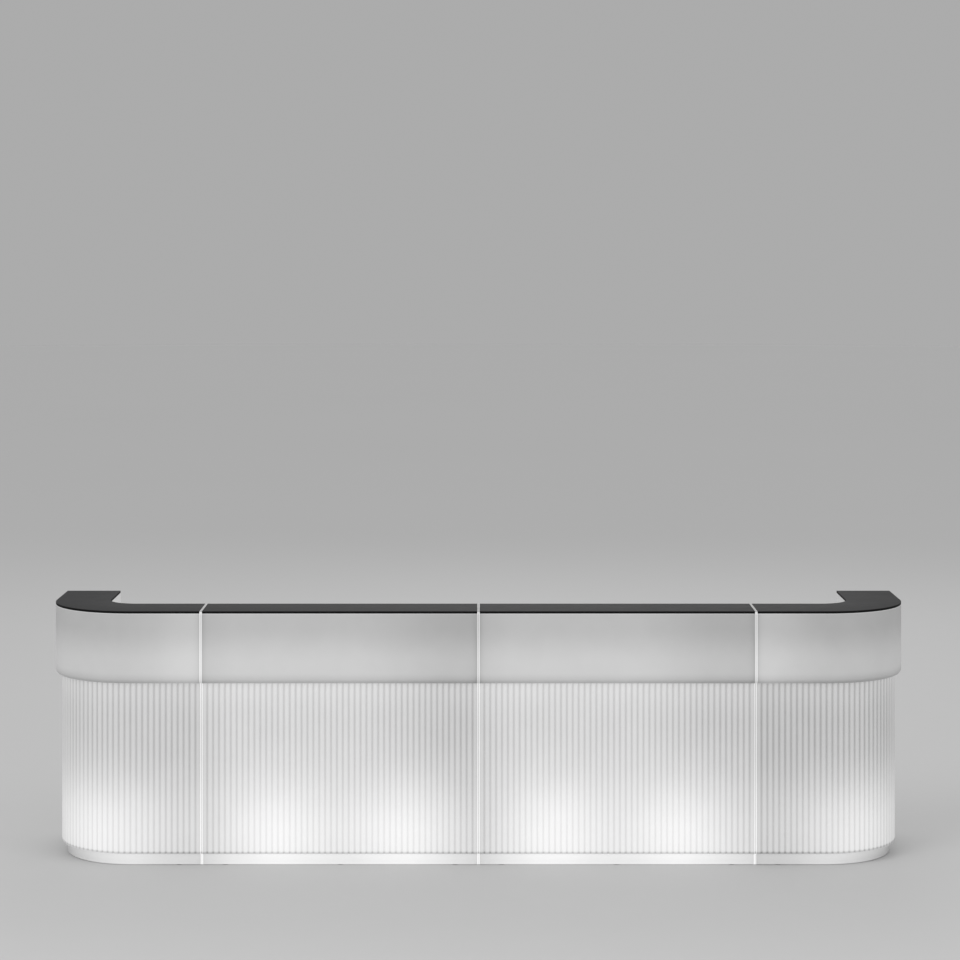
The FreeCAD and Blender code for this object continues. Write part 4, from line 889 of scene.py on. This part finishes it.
def counter_laminate(colours):
    """Compact laminate: fine crystal texture on its faces, black core on its edges."""
    recipe = finish_recipe("counter_top_sheet", Specular_IOR_Level=0.08)
    spot, _, _, z = recipe.place()
    crystal = recipe.noise(spot, 900.0, 3.0)
    cloud = recipe.noise(spot, 14.0, 3.0)
    face = z.ramp(COUNTER_TOP - 0.0007, COUNTER_TOP - 0.0002)
    tone, core = colours.laminate, colours.core
    grain = recipe.mix(crystal * 0.6 + cloud * 0.4, rgba(tone, 0.8), rgba(tone, 1.2))
    return recipe.feed(
        Base_Color=recipe.mix(face, rgba(core), grain),
        Roughness=crystal * 0.14 + cloud * 0.12 + 0.45,
        Normal=recipe.bump(crystal, 0.00005))


def inlet_nylon(colours, name):
    """Black nylon with a fine spark texture, and bright contact blades in the recess."""
    _, high, middle = extent(name.replace("nylon_", "") + "_power_inlet")
    recipe = finish_recipe(name)
    spot, x, y, z = recipe.place()
    blades = (abs(x - middle[0]).below(BLADE_SPREAD)
              * abs(z - (middle[2] - BLADE_DROP)).below(BLADE_RISE)
              * y.above(high[1] - BLADE_REACH[0]) * y.below(high[1] - BLADE_REACH[1]))
    spark = recipe.noise(spot, 1400.0, 2.0)
    tone = colours.nylon
    moulded = recipe.mix(spark, rgba(tone, 0.75), rgba(tone, 1.35))
    return recipe.feed(
        Base_Color=recipe.mix(blades, moulded, (0.62, 0.60, 0.55, 1.0)),
        Metallic=blades,
        Roughness=spark * 0.15 + 0.42 - blades * 0.22,
        Normal=recipe.bump(spark, 0.00003))


def opal(colours):
    """Lit opal globe, a little dimmer towards its foot."""
    recipe = finish_recipe("glowing_opal", Emission_Strength=1.0)
    spot, _, _, z = recipe.place()
    skin = recipe.noise(spot, 120.0, 2.0)
    return recipe.feed(
        Base_Color=recipe.mix(skin, rgba(colours.opal, 0.97), rgba(colours.opal)),
        Emission_Color=recipe.grey(z.ramp(0.02, 0.12, 0.7125, 0.95)),
        Roughness=skin * 0.1 + 0.25)


# Plain finishes: colour, scale and spread of the mottling, roughness and height of the bump; and
# bare metals: colour, scale of the lines, roughness and how much closer the lines lie along z.
SPECKLED = {
    "shelf_sheet": ("shelf", 700.0, 0.20, 0.50, 0.00005),
    "laminate_core": ("core", 300.0, 0.30, 0.42, 0.00003),
    "cover_sheet": ("cover", 500.0, 0.03, 0.42, 0.00004),
    "rocker_gloss": ("rocker", 600.0, 0.20, 0.22, 0.00001),
    "rocker_mark": ("marks", 600.0, 0.03, 0.40, 0.00001),
    "cable_sheath": ("sheath", 500.0, 0.06, 0.50, 0.00004),
    "glide_nylon": ("glide", 500.0, 0.15, 0.50, 0.00004),
    "leg_nylon": ("leg", 600.0, 0.25, 0.45, 0.00005),
    "floor_paint": ("floor", 6.0, 0.01, 0.75, 0.0),
}
BRUSHED = {
    "turned_aluminium": ("aluminium", 300.0, 0.35, 12.0),
    "turned_brass": ("brass", 500.0, 0.30, 12.0),
    "zinc_plate": ("zinc", 220.0, 0.38, 6.0),
}
COVER_GLOW = (0.12, 0.12, 0.118, 1.0)


def finish_of(name):
    """A finish is made when the first piece asks for it, and shared from then on."""
    made = bpy.data.materials.get(name)
    if made:
        return made
    colours = bpy.context.scene.counter_colours
    if name.startswith("nylon_"):
        return inlet_nylon(colours, name)
    if name in SPECKLED:
        tone, *values = SPECKLED[name]
        lit = {"Emission_Strength": 1.0, "Emission_Color": COVER_GLOW}
        return speckled(name, getattr(colours, tone), *values,
                        **(lit if name == "cover_sheet" else {}))
    if name in BRUSHED:
        tone, *values = BRUSHED[name]
        return brushed(name, getattr(colours, tone), *values)
    if name == "lit_polyethylene":
        return polyethylene(colours, bpy.context.scene.counter_glow)
    return {"counter_top_sheet": counter_laminate, "glowing_opal": opal}[name](colours)


# ---- the pieces ----------------------------------------------------------------------------------

class CounterStep:
    """What every step of the build shares."""

    bl_options = {"REGISTER", "UNDO"}


class COUNTER_OT_moulded_bodies(CounterStep, bpy.types.Operator):
    """Build the four moulded bodies with their ribs, rims, rear openings and insert pockets"""

    bl_idname = "counter.moulded_bodies"
    bl_label = "Moulded bodies"

    def execute(self, context):
        for module in MODULES:
            name = module + "_body"
            made = piece(name + "_moulding", name, "body_polyethylene",
                         moulded_body(module, context.scene.counter_sizes), "lit_polyethylene")
            cut(made, rear_openings(module))
        return {"FINISHED"}


class COUNTER_OT_counter_tops(CounterStep, bpy.types.Operator):
    """Build the four counter tops with their eased edges"""

    bl_idname = "counter.counter_tops"
    bl_label = "Counter tops"

    def execute(self, context):
        inset, away = quarter_round(context.scene.counter_sizes.laminate_arris)
        start = UPSTAND + LAMINATE_GAP
        half = np.array((DEPTH, COUNTER_TOP - BODY_TOP)) / 2
        loop = rounded_outline(*(half * 2), context.scene.counter_sizes.laminate_arris, 3)
        for module in MODULES:
            total = line_length(module)
            middle = np.linspace(start + TOP_COLUMNS_START, total - start - TOP_COLUMNS_START,
                                 TOP_COLUMNS)
            along = np.concatenate((start + away, middle, total - start - away[::-1]))
            draw_in = np.concatenate((inset, np.zeros(len(middle)), inset[::-1]))
            section = loop * (1 - draw_in[:, None, None] / half) + half
            spot, normal = plan_line(module, along)
            plan = spot[:, None, :] + normal[:, None, :] * section[:, :, :1]
            shape = closed_tube(np.concatenate((plan, section[:, :, 1:] + BODY_TOP), -1))
            name = module + "_top"
            piece(name + "_laminate", name, "counter_laminate", shape, "counter_top_sheet",
                  angle=50)
        return {"FINISHED"}


class COUNTER_OT_rear_covers(CounterStep, bpy.types.Operator):
    """Build the sheets over the openings in the rear walls"""

    bl_idname = "counter.rear_covers"
    bl_label = "Rear covers"

    def execute(self, context):
        arris = context.scene.counter_sizes.sheet_arris
        inner = rounded_outline(*INLET_WINDOW, INLET_WINDOW_ROUNDING)
        for node in sorted(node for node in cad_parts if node.endswith("_cover")):
            low, high, middle = extent(node)
            width, thickness, tall = high - low
            outer = rounded_outline(width, tall, COVER_ROUNDING)
            if node.endswith("service_cover"):
                shape = holed_plate(outer, inner, thickness, arris)
            else:
                shape = eased_plate(outer, thickness, arris)
            piece(node + "_sheet", node, "cover_plastic",
                  laid(shape, (middle[0], low[1], middle[2]), (-1, 0, 0)), "cover_sheet")
        return {"FINISHED"}


class COUNTER_OT_rocker_switches(CounterStep, bpy.types.Operator):
    """Build the rockers, tilted to their on side, with the marks for on and off"""

    bl_idname = "counter.rocker_switches"
    bl_label = "Rocker switches"

    def execute(self, context):
        slope, rise = math.sin(ROCKER_TILT), math.cos(ROCKER_TILT)
        crown = ROCKER_FACE + ROCKER_HALF * math.tan(ROCKER_TILT)
        upper = [(crown, ROCKER_HALF), (ROCKER_SHOULDER, ROCKER_HALF), (-ROCKER_BODY, ROCKER_BODY)]
        lower = [(out, -up) for out, up in upper[::-1]]
        outline = softened(np.array(lower + [(ROCKER_FACE, 0)] + upper), ROCKER_ROUNDING)
        block = laid(eased_plate(outline, ROCKER_WIDTH, ROCKER_ARRIS),
                     (-ROCKER_WIDTH / 2, 0, 0), (0, 1, 0))
        paddle, paddle_faces = joined((block, pointed(lathe(AXLE, 16), (0, 0, 0), (1, 0, 0))))
        bar = eased_plate(rounded_outline(*MARK_BAR, 2), MARK_THICKNESS, MARK_ARRIS)
        ring = holed_plate(*(arc(0, 0, radius, 0, 337.5, 15) for radius in MARK_RING),
                           MARK_THICKNESS, MARK_ARRIS)
        face = ROCKER_FACE + MARK_RISE * math.tan(ROCKER_TILT) - MARK_SINK * rise
        marks, mark_faces = joined(
            laid(shape, (0, face, hand * (MARK_RISE + MARK_SINK * slope)), (-1, 0, 0),
                 (0, hand * slope, rise)) for shape, hand in ((bar, 1), (ring, -1)))
        turn = np.array(((1, 0, 0), (0, rise, -slope), (0, slope, rise))).T
        for module in MODULES:
            node = module + "_rocker"
            _, high, middle = extent(module + "_power_inlet")
            pivot = (middle[0], high[1] - ROCKER_FACE, middle[2] + ROCKER_RISE)
            piece(node + "_paddle", node, "rocker_plastic",
                  (paddle @ turn + pivot, paddle_faces), "rocker_gloss", body=module + "_switch")
            marking = new_object(node + "_marks", (marks @ turn + pivot, mark_faces),
                                 [finish_of("rocker_mark")])
            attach(marking, module + "_switch")
        return {"FINISHED"}


class COUNTER_OT_joining_plates(CounterStep, bpy.types.Operator):
    """Build the steel plates over the seams"""

    bl_idname = "counter.joining_plates"
    bl_label = "Joining plates"

    def execute(self, context):
        shapes = []
        for low, high, middle in spans("joining_plates"):
            width, thickness, tall = high - low
            plate = eased_plate(rounded_outline(width, tall, PLATE_ROUNDING), thickness,
                                context.scene.counter_sizes.sheet_arris)
            shapes.append(laid(plate, (middle[0], low[1], middle[2]), (-1, 0, 0)))
        piece("seam_plates", "joining_plates", "zinc_steel", joined(shapes), "zinc_plate")
        return {"FINISHED"}


class COUNTER_OT_joining_screws(CounterStep, bpy.types.Operator):
    """Build the socket screws through the joining plates"""

    bl_idname = "counter.joining_screws"
    bl_label = "Joining screws"

    def execute(self, context):
        screw = lathe(SOCKET_SCREW, recess=hexagon(SOCKET_KEY))
        piece("seam_screws", "joining_screws", "zinc_steel",
              set_out(screw, screw_spots("joining_screws")), "zinc_plate")
        return {"FINISHED"}


class COUNTER_OT_small_screws(CounterStep, bpy.types.Operator):
    """Build the pan-head screws of the covers and brackets, with their cross recess"""

    bl_idname = "counter.small_screws"
    bl_label = "Small screws"

    def execute(self, context):
        for node, reach in PAN_HEAD_REACH.items():
            tip = ((2, 1 - reach), (0.4, -reach), (0, -reach))
            screw = lathe(PAN_HEAD + tip, recess=cross(*CROSS_RECESS))
            piece(node.replace("screws", "pan_heads"), node, "zinc_steel",
                  set_out(screw, screw_spots(node)), "zinc_plate")
        return {"FINISHED"}


class COUNTER_OT_threaded_inserts(CounterStep, bpy.types.Operator):
    """Build the brass inserts with their threads"""

    bl_idname = "counter.threaded_inserts"
    bl_label = "Threaded inserts"

    def execute(self, context):
        pitch = context.scene.counter_sizes.thread_pitch
        thread = [(radius, -THREAD_START - pitch * (turn + share))
                  for turn in range(int(THREAD_LENGTH / pitch)) for radius, share in THREAD]
        outer, ease, end = INSERT_RADIUS, INSERT_EASE, -INSERT_LENGTH
        profile = [(outer - ease, 0), (outer, -ease), (outer, end + ease), (outer - ease, end),
                   (THREAD[1][0], end)] + thread[::-1] + [(THREAD_MOUTH, 0)]
        piece("brass_inserts", "threaded_inserts", "insert_brass",
              set_out(ring_lathe(np.array(profile)), insert_spots()), "turned_brass")
        return {"FINISHED"}


class COUNTER_OT_shelf_boards(CounterStep, bpy.types.Operator):
    """Build the boards of the shelf units, dark faces on a black core"""

    bl_idname = "counter.shelf_boards"
    bl_label = "Shelf boards"

    def execute(self, context):
        kinds = ("side_panel_left", "side_panel_right", "divider", "bottom_shelf",
                 "middle_shelf_left", "middle_shelf_right", "worktop", "kick_board")
        axes = np.eye(3)
        for node in [f"{module}_{kind}" for module in STRAIGHT for kind in kinds]:
            low, high, _ = extent(node)
            thin = int(np.argmin(high - low))
            first, second = (thin + 1) % 3, (thin + 2) % 3
            u0, v0, u1, v1 = low[first], low[second], high[first], high[second]
            corners = [(u0, v0), (u1, v0), (u1, v1), (u0, v1)]
            if "side_panel" in node:
                corners += [(u0, NOTCH[1]), (u0 + NOTCH_DEPTH, NOTCH[1]),
                            (u0 + NOTCH_DEPTH, NOTCH[0]), (u0, NOTCH[0])]
            plate = eased_plate(np.array(corners), high[thin] - low[thin],
                                context.scene.counter_sizes.board_arris)
            marks = [1] * (len(plate[1]) - 2) + [0, 0]
            piece(node + "_board", node, "shelf_laminate",
                  laid(plate, axes[thin] * low[thin], axes[first], axes[second]),
                  "shelf_sheet", "laminate_core", marks=marks)
        return {"FINISHED"}


class COUNTER_OT_shelf_legs(CounterStep, bpy.types.Operator):
    """Build the legs under the shelf units, with foot, adjusting ring and top plate"""

    bl_idname = "counter.shelf_legs"
    bl_label = "Shelf legs"

    def execute(self, context):
        feet = [((middle[0], middle[1], 0), (0, 0, 1)) for _, _, middle in spans("shelf_legs")]
        piece("turned_legs", "shelf_legs", "leg_plastic", set_out(lathe(LEG, 32), feet),
              "leg_nylon")
        return {"FINISHED"}


class COUNTER_OT_shelf_pins(CounterStep, bpy.types.Operator):
    """Build the pins under the middle shelves"""

    bl_idname = "counter.shelf_pins"
    bl_label = "Shelf pins"

    def execute(self, context):
        holes = [(middle, (1, 0, 0)) for _, _, middle in spans("shelf_pins")]
        piece("rounded_pins", "shelf_pins", "zinc_steel", set_out(lathe(PIN, 16), holes),
              "zinc_plate")
        return {"FINISHED"}


class COUNTER_OT_worktop_brackets(CounterStep, bpy.types.Operator):
    """Build the bent angle brackets under the worktops"""

    bl_idname = "counter.worktop_brackets"
    bl_label = "Worktop brackets"

    def execute(self, context):
        leg, steel, bend = BRACKET_LEG, BRACKET_STEEL, BRACKET_BEND
        outline = np.concatenate((
            [(0, -leg), (steel, -leg)], arc(bend, -bend, bend - steel, 180, 90, 3),
            [(leg, -steel), (leg, 0)], arc(bend, -bend, bend, 90, 180, 5)))
        shapes = []
        for solid in solids_of("worktop_brackets"):
            low, high = solid.min(0), solid.max(0)
            out = 1 if high[1] - low[1] > high[0] - low[0] else 0
            foot = solid[solid[:, 2] < low[2] + CLOSE][:, out].mean()
            sign = 1.0 if foot < (low[out] + high[out]) / 2 else -1.0
            across = np.eye(3)[out] * sign
            wide = high[1 - out] - low[1 - out]
            origin = (low + high) / 2
            origin[out] = low[out] if sign > 0 else high[out]
            origin[2] = high[2]
            origin -= np.cross(across, (0, 0, 1)) * wide / 2
            plate = eased_plate(outline, wide, context.scene.counter_sizes.sheet_arris)
            shapes.append(laid(plate, origin, across))
        piece("bent_brackets", "worktop_brackets", "zinc_steel", joined(shapes), "zinc_plate")
        return {"FINISHED"}


class COUNTER_OT_kept_parts(CounterStep, bpy.types.Operator):
    """Give the inlets, lamps, cables, glides and hidden screws their finishes"""

    bl_idname = "counter.kept_parts"
    bl_label = "Inlets, lamps, cables and glides"

    def execute(self, context):
        finishes = {"lamp_bases": "turned_aluminium", "lamp_globes": "glowing_opal",
                    "body_glides": "glide_nylon", "top_screws": "zinc_plate",
                    "lamp_screws": "zinc_plate", "panel_screws": "zinc_plate"}
        for module in MODULES:
            finishes[module + "_power_inlet"] = "nylon_" + module
            finishes[module + "_wiring"] = "cable_sheath"
        for node, name in finishes.items():
            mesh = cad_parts[node].data
            mesh.materials.clear()
            mesh.materials.append(finish_of(name))
        return {"FINISHED"}


class COUNTER_OT_stage(CounterStep, bpy.types.Operator):
    """Set out the pale floor, the soft lights, the surroundings and the camera"""

    bl_idname = "counter.stage"
    bl_label = "Stage"

    def execute(self, context):
        scene = context.scene
        rings = [level_ring(arc(0, 0, radius, 0, 360, FLOOR_SIDES)[:-1], 0.0)
                 for radius in FLOOR_RINGS]
        points = np.concatenate(rings + [[(0, 0, 0)]])
        faces = [face[::-1] for face in grid_faces(len(rings), FLOOR_SIDES, False, True)]
        faces += [(len(points) - 1, k, (k + 1) % FLOOR_SIDES) for k in range(FLOOR_SIDES)]
        floor = new_object("studio_floor", (points, faces), [finish_of("floor_paint")])
        for name, spot, size, power in LIGHTS:
            lamp = bpy.data.lights.new(name, "AREA")
            lamp.shape = "DISK"
            lamp.size = size
            lamp.energy = power
            made = bpy.data.objects.new(name, lamp)
            made.location = spot
            aim = Vector(LIGHT_AIM) - Vector(spot)
            made.rotation_euler = aim.to_track_quat("-Z", "Y").to_euler()
            scene.collection.objects.link(made)
        around = Recipe(bpy.data.worlds.new("studio_air"), "World Output")
        seen, shiny, clear = (
            around.node("ShaderNodeLightPath", {}, output=f"Is {ray} Ray")
            for ray in ("Camera", "Glossy", "Transmission"))
        air, backdrop = (
            around.node("ShaderNodeBackground", {}, rgba(tone))
            for tone in (scene.counter_colours.air, scene.counter_colours.backdrop))
        scene.world = around.feed(Surface=around.node(
            "ShaderNodeMixShader", {}, seen.most(shiny).most(clear), air, backdrop))
        lens = bpy.data.cameras.new("camera")
        lens.lens = LENS
        lens.sensor_width = 36.0
        lens.shift_y = LENS_SHIFT
        camera = bpy.data.objects.new("camera", lens)
        camera.location = CAMERA
        camera.rotation_euler = (math.radians(90), 0.0, 0.0)
        scene.collection.objects.link(camera)
        scene.camera = camera
        scene.view_settings.view_transform = "Standard"
        return {"FINISHED"}


STEPS = (
    COUNTER_OT_moulded_bodies, COUNTER_OT_counter_tops, COUNTER_OT_rear_covers,
    COUNTER_OT_rocker_switches, COUNTER_OT_joining_plates, COUNTER_OT_joining_screws,
    COUNTER_OT_small_screws, COUNTER_OT_threaded_inserts, COUNTER_OT_shelf_boards,
    COUNTER_OT_shelf_legs, COUNTER_OT_shelf_pins, COUNTER_OT_worktop_brackets,
    COUNTER_OT_kept_parts, COUNTER_OT_stage,
)


class COUNTER_PT_sidebar(bpy.types.Panel):
    """The steps of the build, with the sizes and colours that they use."""

    bl_idname = "COUNTER_PT_sidebar"
    bl_label = "Bar Counter"
    bl_space_type = "VIEW_3D"
    bl_region_type = "UI"
    bl_category = "Bar Counter"

    def draw(self, context):
        for step in STEPS:
            self.layout.operator(step.bl_idname)
        for group in (context.scene.counter_sizes, context.scene.counter_colours,
                      context.scene.counter_glow):
            box = self.layout.box()
            for name in group.bl_rna.properties.keys():
                if name not in ("rna_type", "name"):
                    box.prop(group, name)


CLASSES = (CounterSizes, CounterColours, CounterGlow) + STEPS + (COUNTER_PT_sidebar,)


def register():
    for kind in CLASSES:
        bpy.utils.register_class(kind)
    bpy.types.Scene.counter_sizes = PointerProperty(type=CounterSizes)
    bpy.types.Scene.counter_colours = PointerProperty(type=CounterColours)
    bpy.types.Scene.counter_glow = PointerProperty(type=CounterGlow)


def unregister():
    del bpy.types.Scene.counter_glow
    del bpy.types.Scene.counter_colours
    del bpy.types.Scene.counter_sizes
    for kind in reversed(CLASSES):
        bpy.utils.unregister_class(kind)


def main():
    register()
    for step in STEPS:
        group, name = step.bl_idname.split(".")
        getattr(getattr(bpy.ops, group), name)()


if __name__ == "__main__":
    main()
